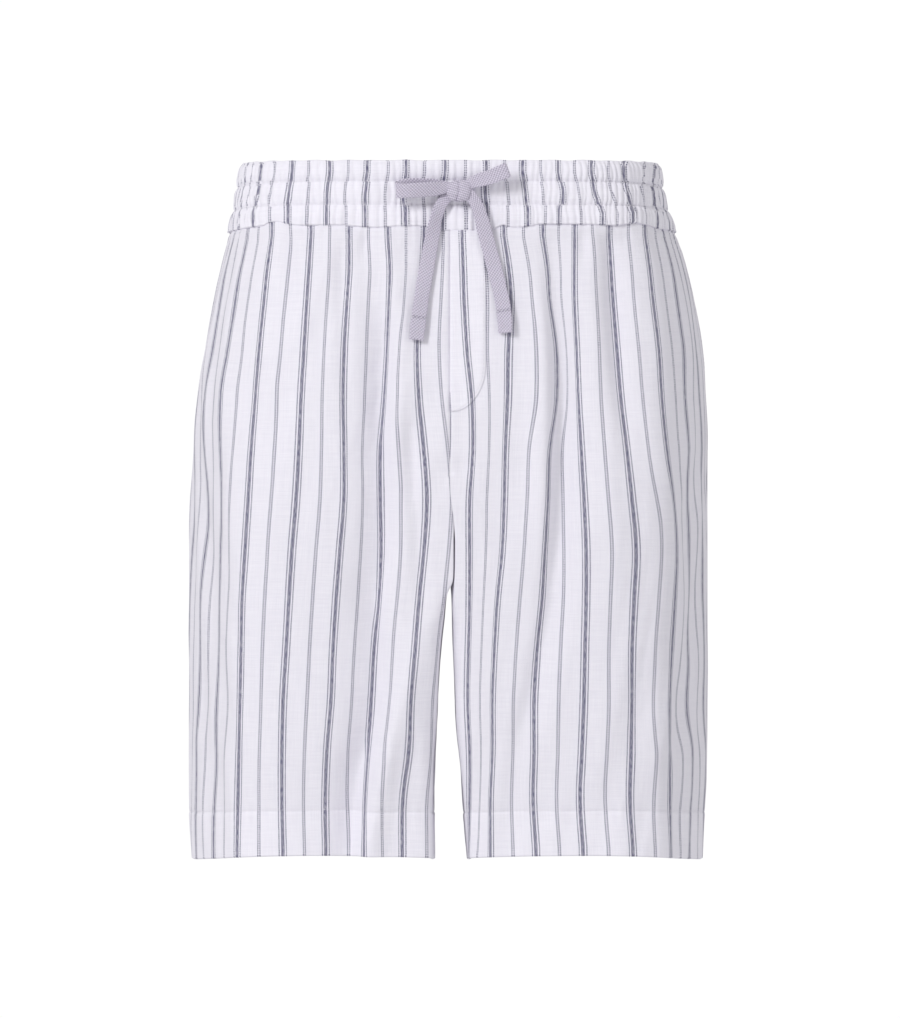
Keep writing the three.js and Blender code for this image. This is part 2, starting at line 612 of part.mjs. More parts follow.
function shorts() {
  const group = new THREE.Group();
  for (const part of ["front", "back"])
    for (const side of [1, -1]) group.add(waistband(part, side), panelMesh(part, side));
  for (const side of [1, -1]) group.add(pocketFacing(side));
  group.add(fly(), knotMesh());
  group.add(tape("drawstring_loop_right", loopRight, 24), tape("drawstring_loop_left", loopLeft, 24));
  group.add(tape("drawstring_tail_right", tailRight, 15, foldedShare));
  group.add(tape("drawstring_tail_left", tailLeft, 15, foldedShare));
  return group;
}

export default shorts();
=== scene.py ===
import math
import bpy
import numpy as np
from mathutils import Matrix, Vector


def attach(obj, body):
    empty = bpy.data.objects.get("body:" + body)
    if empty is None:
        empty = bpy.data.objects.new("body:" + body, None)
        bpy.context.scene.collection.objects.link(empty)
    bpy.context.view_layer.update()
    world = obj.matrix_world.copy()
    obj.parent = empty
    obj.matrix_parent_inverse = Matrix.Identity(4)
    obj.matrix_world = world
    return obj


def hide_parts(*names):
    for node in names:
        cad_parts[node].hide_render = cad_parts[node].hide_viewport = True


# Striped linen bermuda shorts, filled out, with a tape bow. Sizes are in millimetres until a mesh is made.
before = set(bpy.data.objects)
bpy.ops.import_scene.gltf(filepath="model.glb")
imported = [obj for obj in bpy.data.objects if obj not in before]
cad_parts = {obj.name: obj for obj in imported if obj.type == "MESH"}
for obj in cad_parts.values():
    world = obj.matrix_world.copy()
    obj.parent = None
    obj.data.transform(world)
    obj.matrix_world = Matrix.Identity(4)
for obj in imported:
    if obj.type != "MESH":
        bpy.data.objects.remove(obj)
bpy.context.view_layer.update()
mm = 0.001


def mix(a, b, t):
    return a + (b - a) * t


def smooth(t):
    t = np.clip(t, 0, 1)
    return t * t * (3 - 2 * t)


# A soft bump: 1 at 0, falling away on both sides
def bell(value, width, power=2):
    return np.exp(-((value / width) ** power))


def pieceName(part, side):
    return part + ("_left" if side > 0 else "_right")


def addObject(name, data):
    thing = bpy.data.objects.new(name, data)
    bpy.context.scene.collection.objects.link(thing)
    return thing


# Camera
view = {"distance": 4.75, "height": -0.2357, "seenWidth": 0.684, "sensor": 36}
cameraData = bpy.data.cameras.new("camera")
camera = addObject("camera", cameraData)
cameraData.sensor_fit = "HORIZONTAL"
cameraData.sensor_width = view["sensor"]
cameraData.lens = view["sensor"] * view["distance"] / view["seenWidth"]
cameraData.clip_end = 30
camera.location = (0, -view["distance"], view["height"])
camera.rotation_euler = (math.pi / 2, 0, 0)
bpy.context.scene.camera = camera
print("camera ready")


# Where a point shows in the picture, as a place in the plane through the side seams
def seenFrom(points):
    scale = view["distance"] / (view["distance"] + points[..., 1] * mm)
    eye = view["height"] / mm
    return points[..., 0] * scale, eye + (points[..., 2] - eye) * scale


# Form of the shorts: that of the solids, with a sharper fork and a hem that lifts in front
form = {
    "waistSeamZ": -24.3,
    "crotchZ": -258,
    "hemZ": -501.3,
    "forkStartZ": -195,
    "thighStartZ": -120,
    "hemFoldZ": -466,
    "seamGap": 0.3,
    "frontY": -108,
    "hemLift": 5.4,
    "hemLiftMiddle": 2,
    "hemLiftStartZ": -400,
    "hemLiftDepth": 89,
    "inseamY": 6,
    "cornerSharpness": 4,
    "closedDepth": 5,
    "underShare": 0.003,
    "mouthTopInset": 34,
    "mouthEndZ": -168,
}
# z, reach to +X, reach to -X, front, back
sectionRows = [
    (23.5, 159.0, 158.5, 108.0, 108.0),
    (14.7, 160.0, 160.0, 108.5, 109.0),
    (5.6, 161.5, 161.5, 109.0, 110.0),
    (-3.5, 163.0, 162.3, 109.5, 111.5),
    (-12.7, 167.0, 165.0, 110.5, 114.0),
    (-24.3, 171.6, 168.2, 111.6, 117.3),
    (-46.0, 179.0, 173.7, 113.0, 122.0),
    (-76.5, 186.6, 180.5, 115.0, 128.0),
    (-107.0, 191.1, 185.8, 117.0, 132.0),
    (-137.0, 194.2, 191.1, 118.0, 134.0),
    (-168.0, 196.5, 194.9, 118.5, 134.0),
    (-198.0, 197.4, 197.2, 118.0, 131.5),
    (-228.0, 197.6, 199.5, 116.5, 127.0),
    (-258.0, 198.0, 200.3, 114.0, 121.0),
    (-335.0, 198.0, 200.3, 106.0, 107.0),
    (-440.0, 197.2, 200.3, 95.0, 93.0),
    (-470.0, 195.2, 200.0, 92.0, 90.0),
    (-501.3, 193.8, 198.0, 89.0, 87.0),
]
# z, inner side of the +X leg, inner side of the -X leg
gapRows = [
    (-258.0, 0.3, 0.4),
    (-292.0, 0.4, 1.6),
    (-304.0, 1.1, 4.6),
    (-335.0, 1.9, 7.8),
    (-365.0, 3.4, 9.5),
    (-396.0, 4.9, 10.3),
    (-426.0, 8.0, 11.8),
    (-456.0, 10.3, 12.5),
    (-501.3, 14.0, 12.5),
]
# share of the reach to the side, share of the depth
bodyShape = [
    (0, -1), (0.13, -1), (0.27, -1), (0.43, -0.995), (0.61, -0.965), (0.79, -0.87), (0.92, -0.62),
    (0.985, -0.28), (1.002, 0.06), (0.985, 0.4), (0.885, 0.72), (0.68, 0.92), (0.45, 0.995), (0.27, 1),
    (0.13, 1), (0, 1),
]
legShape = [
    (0, 0), (0, -0.8), (0, -0.985), (0.14, -1), (0.42, -1.01), (0.76, -1), (0.87, -0.7), (0.965, -0.22),
    (1.006, 0.16), (0.975, 0.55), (0.82, 0.95), (0.55, 1), (0.2, 0.99), (0.04, 0.84), (0, 0.42), (0, 0),
]
sideIndex = 8
samplesEachSpan = 24


# One column of a table at a height, on a smooth curve through its rows
def tableAt(rows, column, z):
    last = len(rows) - 1
    if z >= rows[0][0]:
        return rows[0][column]
    if z <= rows[last][0]:
        return rows[last][column]
    i = next(k for k, row in enumerate(rows) if row[0] < z) - 1

    def slope(k):
        a, b = rows[max(0, k - 1)], rows[min(last, k + 1)]
        return (b[column] - a[column]) / (b[0] - a[0])

    span = rows[i + 1][0] - rows[i][0]
    t = (z - rows[i][0]) / span
    p, q = rows[i][column], rows[i + 1][column]
    return (
        (2 * t**3 - 3 * t**2 + 1) * p
        + (t**3 - 2 * t**2 + t) * span * slope(i)
        + (3 * t**2 - 2 * t**3) * q
        + (t**3 - t**2) * span * slope(i + 1)
    )


ringCache = {}


# One half ring of the outer form from the front seam round the side to the back seam
def ringAt(side, z):
    key = (side, round(float(z), 3))
    if key in ringCache:
        return ringCache[key]
    column = 1 if side > 0 else 2
    out, inner = tableAt(sectionRows, column, z), tableAt(gapRows, column, z)
    front, back = tableAt(sectionRows, 3, z), tableAt(sectionRows, 4, z)
    drop = min(1, max(0, (form["forkStartZ"] - z) / (form["forkStartZ"] - form["crotchZ"])))
    fork = 1 - math.sqrt(1 - drop * drop)
    thigh = float(smooth((form["thighStartZ"] - z) / (form["thighStartZ"] - form["crotchZ"])))
    corner = float(smooth(drop)) ** form["cornerSharpness"]
    last = len(bodyShape) - 1
    control = np.zeros((last + 1, 2))
    for i, ((bodyX, bodyY), (shareX, shareY)) in enumerate(zip(bodyShape, legShape)):
        edge = -front if shareY < 0 or i == 0 else back
        under = fork * (form["inseamY"] - edge)
        fromEnd = min(i, last - i)
        legX = inner + shareX * (out - inner)
        if fromEnd == 0:
            control[i] = mix(form["seamGap"] / 2, inner, fork), edge + under
        elif fromEnd < 3:
            closed = float(smooth(abs(under) / form["closedDepth"]))
            y = edge + (1 - abs(shareY)) * (form["inseamY"] - edge) * corner
            control[i] = mix(bodyX * out, legX if fromEnd == 1 else legX * corner, closed), y
        else:
            legY = form["inseamY"] + abs(shareY) * (edge - form["inseamY"])
            bodyDepth = bodyY * (front if bodyY < 0 else back)
            control[i] = mix(form["seamGap"] / 2 + bodyX * out, legX, thigh), mix(bodyDepth, legY, thigh)
    padded = np.vstack([2 * control[0] - control[1], control, 2 * control[-1] - control[-2]])
    k = np.arange(last * samplesEachSpan + 1)
    i = np.minimum(last - 1, k // samplesEachSpan)
    t = (k / samplesEachSpan - i)[:, None]
    weights = [(1 - t) ** 3, 3 * t**3 - 6 * t**2 + 4, 1 + 3 * t + 3 * t**2 - 3 * t**3, t**3]
    points = sum(w * padded[i + n] for n, w in enumerate(weights)) / 6
    lengths = np.concatenate([[0], np.cumsum(np.hypot(*np.diff(points, axis=0).T))])
    ring = {
        "points": points,
        "lengths": lengths,
        "side": lengths[sideIndex * samplesEachSpan],
        "full": lengths[-1],
        "under": {"front": fork * (front + form["inseamY"]), "back": fork * (back - form["inseamY"])},
    }
    ringCache[key] = ring
    return ring


def alongRing(side, z, lengths):
    ring = ringAt(side, z)
    x = side * np.interp(lengths, ring["lengths"], ring["points"][:, 0])
    y = np.interp(lengths, ring["lengths"], ring["points"][:, 1])
    return np.stack([x, y, np.full_like(x, z)], axis=-1)


# Length along the ring for shares of a panel's width, 0 at the centre seam or inseam and 1 at the side seam
def panelLengths(part, side, z, shares):
    ring = ringAt(side, z)
    width = ring["side"] if part == "front" else ring["full"] - ring["side"]
    deep = ring["under"][part]
    length = shares * (width - deep) + deep * np.minimum(1, shares / form["underShare"])
    inset = mix(form["seamGap"] / 2, -form["seamGap"] / 2, shares)
    return length + inset if part == "front" else ring["full"] - length - inset


# Rows of points on the form, with the way out of the cloth at each
def formGrid(part, side, heights, shareRows):
    points, across, up, lengthRows = [], [], [], []
    for z, shares in zip(heights, shareRows):
        lengths = panelLengths(part, side, z, shares)
        seam = ringAt(side, z)["side"]
        over, under = z + 1, z - 1
        points.append(alongRing(side, z, lengths))
        across.append(alongRing(side, z, lengths + 2) - alongRing(side, z, lengths - 2))
        up.append(
            alongRing(side, over, lengths - seam + ringAt(side, over)["side"])
            - alongRing(side, under, lengths - seam + ringAt(side, under)["side"])
        )
        lengthRows.append(lengths)
    normals = np.cross(np.array(across), np.array(up)) * side
    normals /= np.linalg.norm(normals, axis=-1, keepdims=True)
    return np.array(points), normals, np.array(lengthRows)


def mouthInset(z):
    return form["mouthTopInset"] * max(0, (z - form["mouthEndZ"]) / (form["waistSeamZ"] - form["mouthEndZ"]))


# Meshes
def makeObject(name, points, faces, uv, material):
    points = np.asarray(points, float).reshape(-1, 3) * mm
    mesh = bpy.data.meshes.new(name)
    mesh.from_pydata(points.tolist(), [], faces)
    layer = mesh.uv_layers.new(name="cloth")
    index = np.zeros(len(mesh.loops), dtype=np.int32)
    mesh.loops.foreach_get("vertex_index", index)
    layer.data.foreach_set("uv", np.asarray(uv, np.float32).reshape(-1, 2)[index].ravel())
    mesh.polygons.foreach_set("use_smooth", [True] * len(mesh.polygons))
    mesh.materials.append(material)
    mesh.update()
    thing = addObject(name, mesh)
    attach(thing, "root")
    return thing


# A closed wall from an outer and an inner grid of points, with a rounded rim between them
def wallFaces(rows, columns, flip):
    a = np.arange(rows * columns).reshape(rows, columns)
    b = a + rows * columns
    quads = [np.stack([a[:-1, :-1], a[1:, :-1], a[1:, 1:], a[:-1, 1:]], -1).reshape(-1, 4)]
    quads.append(np.stack([b[:-1, :-1], b[:-1, 1:], b[1:, 1:], b[1:, :-1]], -1).reshape(-1, 4))
    ringOut = np.concatenate([a[0, :-1], a[:-1, -1], a[-1, :0:-1], a[:0:-1, 0]])
    ringIn = ringOut + rows * columns
    middle = 2 * rows * columns + np.arange(len(ringOut))
    for one, two in ((ringOut, middle), (middle, ringIn)):
        quads.append(np.stack([one, np.roll(one, -1), np.roll(two, -1), two], -1))
    quads = np.concatenate(quads)
    return (quads[:, ::-1] if flip else quads).tolist(), ringOut


def wallObject(name, outer, inner, uv, material, flip=False, rimOut=0.3):
    rows, columns = outer.shape[:2]
    faces, ring = wallFaces(rows, columns, flip)
    flatOut, flatIn = outer.reshape(-1, 3), inner.reshape(-1, 3)
    nextIn = np.concatenate([
        outer[1, :-1].reshape(-1, 3), outer[:-1, -2].reshape(-1, 3),
        outer[-2, :0:-1].reshape(-1, 3), outer[:0:-1, 1].reshape(-1, 3),
    ])
    away = flatOut[ring] - nextIn
    away /= np.maximum(1e-6, np.linalg.norm(away, axis=-1, keepdims=True))
    thick = np.linalg.norm(flatOut[ring] - flatIn[ring], axis=-1, keepdims=True)
    middle = (flatOut[ring] + flatIn[ring]) / 2 + away * thick * rimOut
    flatUv = uv.reshape(-1, 2)
    points = np.concatenate([flatOut, flatIn, middle])
    return makeObject(name, points, faces, np.concatenate([flatUv, flatUv, flatUv[ring]]), material)


# A number for each point, for the materials: layers of cloth (0 single, 1 double), which set the linen's
# painted see-through shade, or nearness to the sewing, which sets the tape's painted groove shade
def addValues(piece, name, values):
    attribute = piece.data.attributes.new(name, "FLOAT", "POINT")
    attribute.data.foreach_set("value", np.asarray(values, np.float32))


def gridArea(grid):
    a, b, c, d = grid[:-1, :-1], grid[1:, :-1], grid[1:, 1:], grid[:-1, 1:]
    one = np.linalg.norm(np.cross(b - a, c - a), axis=-1)
    two = np.linalg.norm(np.cross(c - a, d - a), axis=-1)
    return float((one + two).sum() / 2) * mm * mm


# Materials
# Adds one node, sets its inputs by name or number, and gives it back
def addNode(tree, kind, settings=None, **inputs):
    node = tree.nodes.new(kind)
    for key, value in (settings or {}).items():
        setattr(node, key, value)
    for key, value in inputs.items():
        socket = node.inputs[int(key[1:])] if key[0] == "i" and key[1:].isdigit() else node.inputs[key]
        if isinstance(value, bpy.types.NodeSocket):
            tree.links.new(value, socket)
        else:
            socket.default_value = value
    return node


def maths(tree, operation, *values, clamp=False):
    given = {"i" + str(n): value for n, value in enumerate(values)}
    return addNode(tree, "ShaderNodeMath", {"operation": operation, "use_clamp": clamp}, **given).outputs[0]


# Waves with a pitch in millimetres
def waves(tree, value, pitch):
    return maths(tree, "SINE", maths(tree, "MULTIPLY", value, 2 * math.pi / pitch))


def mapped(tree, value, low, high, toLow=0.0, toHigh=1.0, kind="LINEAR"):
    given = {"i0": value, "i1": low, "i2": high, "i3": toLow, "i4": toHigh}
    return addNode(tree, "ShaderNodeMapRange", {"interpolation_type": kind}, **given).outputs[0]


def blended(tree, share, first, second, kind="MIX"):
    settings = {"data_type": "RGBA", "blend_type": kind}
    return addNode(tree, "ShaderNodeMix", settings, i0=share, i6=first, i7=second).outputs[2]


def noise(tree, place, scale=1.0, detail=1.0, rough=0.5, flat=True):
    settings = {"noise_dimensions": "2D" if flat else "3D"}
    given = {"Vector": place, "Scale": scale, "Detail": detail, "Roughness": rough}
    return addNode(tree, "ShaderNodeTexNoise", settings, **given).outputs["Fac"]


def stretched(tree, uv, scale):
    return addNode(tree, "ShaderNodeMapping", Vector=uv, Scale=scale).outputs[0]


def attributeOf(tree, name):
    return addNode(tree, "ShaderNodeAttribute", {"attribute_name": name}).outputs["Fac"]


def addBump(tree, shader, height, strength, distance):
    bump = addNode(tree, "ShaderNodeBump", Strength=strength, Distance=distance, Height=height)
    tree.links.new(bump.outputs[0], shader.inputs["Normal"])


# A new material, with the shader's inputs that are the same all over it
def newMaterial(name, constants):
    material = bpy.data.materials.new(name)
    material.use_nodes = True
    tree = material.node_tree
    shader = next(n for n in tree.nodes if n.type == "BSDF_PRINCIPLED")
    for key, value in constants.items():
        shader.inputs[key].default_value = value
    return material, tree, shader


# The cloth's own measure in millimetres: across the stripes and along them
def clothMeasure(tree):
    uv = addNode(tree, "ShaderNodeUVMap", {"uv_map": "cloth"}).outputs[0]
    parts = addNode(tree, "ShaderNodeSeparateXYZ", i0=uv)
    return uv, parts.outputs[0], parts.outputs[1]


# 1 inside a band from low to high, with soft edges
def band(tree, value, low, high, soft=0.18):
    rise = mapped(tree, value, low - soft, low + soft, kind="SMOOTHSTEP")
    fall = mapped(tree, value, high - soft, high + soft, kind="SMOOTHSTEP")
    return maths(tree, "SUBTRACT", rise, fall, clamp=True)


# Sizes in millimetres of cloth
stripes = {
    "repeat": 38,
    "bandHalf": 1.45,
    "pinFrom": 2.45,
    "pinTo": 3.45,
    "thinFrom": 0.42,
    "thinTo": 1.38,
    "thinShare": 0.95,
    "betweenShare": 0.18,
    "wander": 0.3,
    "tickPitch": 1.8,
    "twillPitch": 1.5,
    "twillLean": 1.3,
    "wornScale": (1.3, 0.26, 1),
    "slubScales": ((1.15, 0.035, 1), (0.03, 1.0, 1)),
    "yarn": (0.046, 0.044, 0.125, 1),
    "ground": (0.87, 0.85, 0.92, 1),
    "shadowGround": (0.8, 0.78, 0.86, 1),
    "weavePitch": 0.62,
    "bump": 0.9,
}


def stripedLinen():
    same = {"Specular IOR Level": 0.2, "Sheen Weight": 0.12, "Sheen Roughness": 0.5}
    material, tree, shader = newMaterial("striped_linen", same)
    uv, across, along = clothMeasure(tree)
    # yarns wander a little, so a stripe's edge isn't ruled
    drift = addNode(tree, "ShaderNodeTexNoise", {"noise_dimensions": "1D"}, W=along, Scale=0.35, Detail=1.0)
    shift = maths(tree, "MULTIPLY_ADD", drift.outputs["Fac"], stripes["wander"], -stripes["wander"] / 2)
    strong = maths(tree, "PINGPONG", maths(tree, "ADD", across, shift), stripes["repeat"] / 2)
    thin = maths(tree, "SUBTRACT", stripes["repeat"] / 2, strong)
    # the weft crosses the coloured warps as pale ticks
    ticks = mapped(tree, waves(tree, along, stripes["tickPitch"]), -0.35, 0.45)
    ticks = maths(tree, "MULTIPLY_ADD", ticks, 0.75, 0.3)
    # fine diagonal of the wide band
    slant = maths(tree, "ADD", along, maths(tree, "MULTIPLY", across, stripes["twillLean"]))
    twill = maths(tree, "MULTIPLY_ADD", waves(tree, slant, stripes["twillPitch"]), 0.2, 0.8)
    wide = maths(tree, "MULTIPLY", band(tree, strong, -1, stripes["bandHalf"]), twill)
    pins = maths(tree, "MULTIPLY", band(tree, strong, stripes["pinFrom"], stripes["pinTo"]), ticks)
    slim = maths(tree, "MULTIPLY", band(tree, thin, stripes["thinFrom"], stripes["thinTo"]), ticks)
    between = maths(tree, "MULTIPLY", band(tree, thin, -1, stripes["thinFrom"]), stripes["betweenShare"])
    double = maths(tree, "MULTIPLY", maths(tree, "MAXIMUM", slim, between), stripes["thinShare"])
    mask = maths(tree, "MAXIMUM", maths(tree, "MAXIMUM", wide, pins), double)
    worn = mapped(tree, noise(tree, stretched(tree, uv, stripes["wornScale"])), 0.32, 0.68, 0.66, 1.14)
    mask = maths(tree, "MULTIPLY", mask, worn, clamp=True)
    # slubs: long thick and thin places in warp and weft
    slubs = [noise(tree, stretched(tree, uv, scale), 1.0, 2.0, 0.6) for scale in stripes["slubScales"]]
    slub = maths(tree, "MULTIPLY", maths(tree, "ADD", *slubs), 0.5)
    ground = blended(tree, mapped(tree, slub, 0.32, 0.68), stripes["shadowGround"], stripes["ground"])
    # painted shade: single cloth is painted a little darker, as if the shaded inside showed through it, and
    # double cloth, as in the hem, which lets less of the dark inside through, is painted brighter
    lift = maths(tree, "MULTIPLY_ADD", attributeOf(tree, "layers"), 0.05, 0.965)
    seeThroughShade = addNode(tree, "ShaderNodeCombineColor", i0=lift, i1=lift, i2=lift).outputs[0]
    bright = blended(tree, 1.0, ground, seeThroughShade, "MULTIPLY")
    tree.links.new(blended(tree, mask, bright, stripes["yarn"]), shader.inputs["Base Color"])
    # plain weave, slubs and faint crumple
    weave = maths(tree, "MULTIPLY", *(waves(tree, value, stripes["weavePitch"]) for value in (across, along)))
    height = maths(tree, "MULTIPLY_ADD", weave, 0.05, maths(tree, "MULTIPLY", slub, 0.55))
    height = maths(tree, "ADD", height, maths(tree, "MULTIPLY", noise(tree, uv, 0.11, 3.0, 0.55), 1.3))
    addBump(tree, shader, height, 0.5, stripes["bump"] * mm)
    tree.links.new(mapped(tree, slub, 0.3, 0.7, 0.94, 0.84), shader.inputs["Roughness"])
    return material


tapeFinish = {
    "yarn": (0.74, 0.69, 0.81, 1),
    "valleyShade": (0.22, 0.2, 0.28, 1),
    "pitch": 2.4,
    "strands": ((0.95, 0.3), (-1.15, 0.22)),
    "bump": 0.45,
}


def wovenTape():
    same = {"Roughness": 0.88, "Specular IOR Level": 0.25, "Sheen Weight": 0.2}
    material, tree, shader = newMaterial("herringbone_tape", same)
    uv, across, along = clothMeasure(tree)
    # strands cross each other in two slanting directions, the one on top showing more; the valleys between
    # them are painted shade
    strand = 0.5
    for lean, share in tapeFinish["strands"]:
        run = maths(tree, "ADD", along, maths(tree, "MULTIPLY", across, lean))
        strand = maths(tree, "MULTIPLY_ADD", waves(tree, run, tapeFinish["pitch"]), share, strand)
    fuzz = noise(tree, uv, 0.9, 3.0)
    shade = maths(tree, "MULTIPLY_ADD", fuzz, 0.5, maths(tree, "MULTIPLY", strand, 0.75), clamp=True)
    # painted shade: the tape is painted darker in the groove where a line of sewing presses it in
    shade = maths(tree, "MULTIPLY_ADD", attributeOf(tree, "sewn"), -0.42, shade, clamp=True)
    # painted shade in the valleys, the yarn's own colour on the strands, with random fuzz
    colour = blended(tree, shade, tapeFinish["valleyShade"], tapeFinish["yarn"])
    tree.links.new(colour, shader.inputs["Base Color"])
    addBump(tree, shader, maths(tree, "MULTIPLY_ADD", fuzz, 0.35, strand), 0.75, tapeFinish["bump"] * mm)
    return material


def sewingThread():
    material, tree, shader = newMaterial("white_thread", {"Roughness": 0.6})
    twist = noise(tree, addNode(tree, "ShaderNodeTexCoord").outputs["Object"], 2600.0, flat=False)
    colour = blended(tree, twist, (0.7, 0.68, 0.75, 1), (0.88, 0.86, 0.91, 1))
    tree.links.new(colour, shader.inputs["Base Color"])
    return material


# Stitches
stitch = {
    "spacing": 3.1, "length": 2.2, "thick": 0.5, "proud": 0.1,
    "uneven": 0.16, "lean": 0.1, "sides": 6, "rings": 4,
}


# Geometry Nodes: short stitches laid end to end along each line of sewing
def stitchTree():
    tree = bpy.data.node_groups.new("stitches_along_lines", "GeometryNodeTree")
    tree.interface.new_socket(name="Lines", in_out="INPUT", socket_type="NodeSocketGeometry")
    for name in ("Spacing", "Length", "Thickness", "Unevenness", "Lean"):
        tree.interface.new_socket(name=name, in_out="INPUT", socket_type="NodeSocketFloat")
    tree.interface.new_socket(name="Seed", in_out="INPUT", socket_type="NodeSocketInt")
    tree.interface.new_socket(name="Thread", in_out="INPUT", socket_type="NodeSocketMaterial")
    tree.interface.new_socket(name="Stitches", in_out="OUTPUT", socket_type="NodeSocketGeometry")
    given = tree.nodes.new("NodeGroupInput").outputs
    curve = addNode(tree, "GeometryNodeMeshToCurve", i0=given["Lines"])
    every = {"Curve": curve.outputs[0], "Length": given["Spacing"]}
    places = addNode(tree, "GeometryNodeCurveToPoints", {"mode": "LENGTH"}, **every)
    fine = {"Segments": stitch["sides"], "Rings": stitch["rings"]}
    capsule = addNode(tree, "GeometryNodeMeshUVSphere", Radius=0.5, **fine)
    least = maths(tree, "SUBTRACT", 1.0, given["Unevenness"])
    most = maths(tree, "ADD", 1.0, given["Unevenness"])
    limits = {"i2": least, "i3": most, "Seed": given["Seed"]}
    change = addNode(tree, "FunctionNodeRandomValue", {"data_type": "FLOAT"}, **limits)
    long = maths(tree, "MULTIPLY", given["Length"], change.outputs[1])
    size = addNode(tree, "ShaderNodeCombineXYZ", X=given["Thickness"], Y=given["Thickness"], Z=long)
    laid = addNode(
        tree, "GeometryNodeInstanceOnPoints", Points=places.outputs["Points"], Instance=capsule.outputs[0],
        Rotation=places.outputs["Rotation"], Scale=size.outputs[0],
    )
    down = maths(tree, "MULTIPLY", given["Lean"], -1.0)
    low = addNode(tree, "ShaderNodeCombineXYZ", X=down, Y=down)
    high = addNode(tree, "ShaderNodeCombineXYZ", X=given["Lean"], Y=given["Lean"])
    limits = {"i0": low.outputs[0], "i1": high.outputs[0], "Seed": given["Seed"]}
    lean = addNode(tree, "FunctionNodeRandomValue", {"data_type": "FLOAT_VECTOR"}, **limits)
    turned = addNode(tree, "GeometryNodeRotateInstances", Instances=laid.outputs[0], Rotation=lean.outputs[0])
    real = addNode(tree, "GeometryNodeRealizeInstances", Geometry=turned.outputs[0])
    soft = addNode(tree, "GeometryNodeSetShadeSmooth", Geometry=real.outputs[0])
    finished = addNode(tree, "GeometryNodeSetMaterial", Geometry=soft.outputs[0], Material=given["Thread"])
    result = tree.nodes.new("NodeGroupOutput")
    tree.links.new(finished.outputs[0], result.inputs["Stitches"])
    return tree


# One object with the stitches of several lines, given in millimetres
def sewLines(name, lines, seed, spacing=None):
    points, edges = [], []
    for line in lines:
        first = len(points)
        points += [[float(v) * mm for v in p] for p in line]
        edges += [(first + k, first + k + 1) for k in range(len(line) - 1)]
    mesh = bpy.data.meshes.new(name + "_lines")
    mesh.from_pydata(points, edges, [])
    thing = addObject(name, mesh)
    modifier = thing.modifiers.new("stitches", "NODES")
    modifier.node_group = sewing
    values = {
        "Spacing": (spacing or stitch["spacing"]) * mm,
        "Length": stitch["length"] * mm,
        "Thickness": stitch["thick"] * mm,
        "Unevenness": stitch["uneven"],
        "Lean": stitch["lean"],
        "Seed": seed,
        "Thread": thread,
    }
    for item in sewing.interface.items_tree:
        if item.in_out == "INPUT" and item.name in values:
            modifier[item.identifier] = values[item.name]
    bpy.context.view_layer.update()
    sewn = bpy.data.meshes.new_from_object(thing.evaluated_get(bpy.context.evaluated_depsgraph_get()))
    thing.modifiers.remove(modifier)
    thing.data = sewn
    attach(thing, "root")
    print(name, len(sewn.polygons) // (stitch["sides"] * stitch["rings"]), "stitches")
    return thing


linen = stripedLinen()
tapeCloth = wovenTape()
thread = sewingThread()
sewing = stitchTree()
print("materials ready")


# Drawstring
# The routes are those of the solids: place, and the way the tape's width runs
drawstring = {
    "width": 11,
    "thick": 1.5,
    "foldedThick": 2.7,
    "foldedShare": 0.17,
    "foldSewing": 3,
    "foldGroove": 1.3,
    "foldStitch": 2.4,
    "loopPinch": (0.4, 11.6),
    "tailPinch": (0.27, 24),
    "cup": 0.8,
    "widthWaves": ((0.02, 5.1), (0.012, 2.3)),
    "curl": 0.35,
    "curlPitch": 17,
    "edgeRoll": 0.25,
    "sides": 28,
    "stepsEach": {"loop": 14, "tail": 26},
    "corners": (0.55, 0.5),
    "dome": 0.4,
    "domeShare": 0.75,
    "uvMiddle": 20,
    "sewnShare": 0.84,
}
loopRight = [
    (4, -116.4, 2.6, 0, 0.1, 1), (-2.6, -116.2, 3.2, 0, 0.1, 1), (-12, -116.1, 3.9, 0, -0.3, 0.95),
    (-23, -117, 4.5, 0, -0.45, 0.9), (-33, -118, 3.6, 0, -0.25, 1), (-38, -119.6, 2, 0, 0.1, 1),
    (-39.3, -122.2, 0.6, 0, 0, 1), (-37.4, -124.6, -0.2, 0, -0.08, 1), (-30, -125.4, -0.1, 0, -0.22, 1),
    (-20, -124, 0.6, 0, -0.28, 1), (-10, -121.2, 1.3, 0, -0.26, 1), (-2.6, -119, 2, 0, -0.1, 1),
    (4, -118.6, 1.8, 0, 0, 1),
]
loopLeft = [
    (9.5, -116.8, 3, -0.31, 0, 0.95), (15.8, -117.3, 5.9, -0.31, 0, 0.95), (22, -119.2, 8, -0.31, 0, 0.95),
    (31, -121.4, 10.6, -0.35, 0, 0.95), (38.5, -123.2, 13.6, -0.37, 0, 0.95),
    (41.8, -124.6, 14.9, -0.37, 0, 0.95), (42.6, -126.2, 15.2, -0.37, 0, 0.95),
    (41.4, -127.5, 14.6, -0.37, 0, 0.95), (37, -127.2, 12.9, -0.37, 0, 0.95),
    (30, -125, 10.1, -0.35, 0, 0.95), (22.5, -122.3, 8.1, -0.31, 0, 0.95), (16, -119.9, 5.8, -0.31, 0, 0.95),
    (9.5, -119.2, 2.8, -0.31, 0, 0.95),
]
tailRight = [
    (1.8, -115.8, -0.6, 0.75, 0, -0.65), (-3.4, -115.8, -5.6, 0.85, 0, -0.5),
    (-7.4, -116.8, -11.6, 0.9, 0.2, -0.45), (-10.7, -117.4, -21.7, 1, 0.45, -0.3),
    (-13.6, -116.4, -36, 1, 0.2, -0.22), (-16.3, -116, -51.3, 1, 0, -0.18), (-18.9, -116.9, -66, 1, 0, -0.17),
    (-21.3, -118.8, -80.9, 1, 0.15, -0.16), (-23.3, -120.1, -96, 1, 0.1, -0.12),
    (-24.8, -121, -110.2, 1, 0.1, -0.1),
]
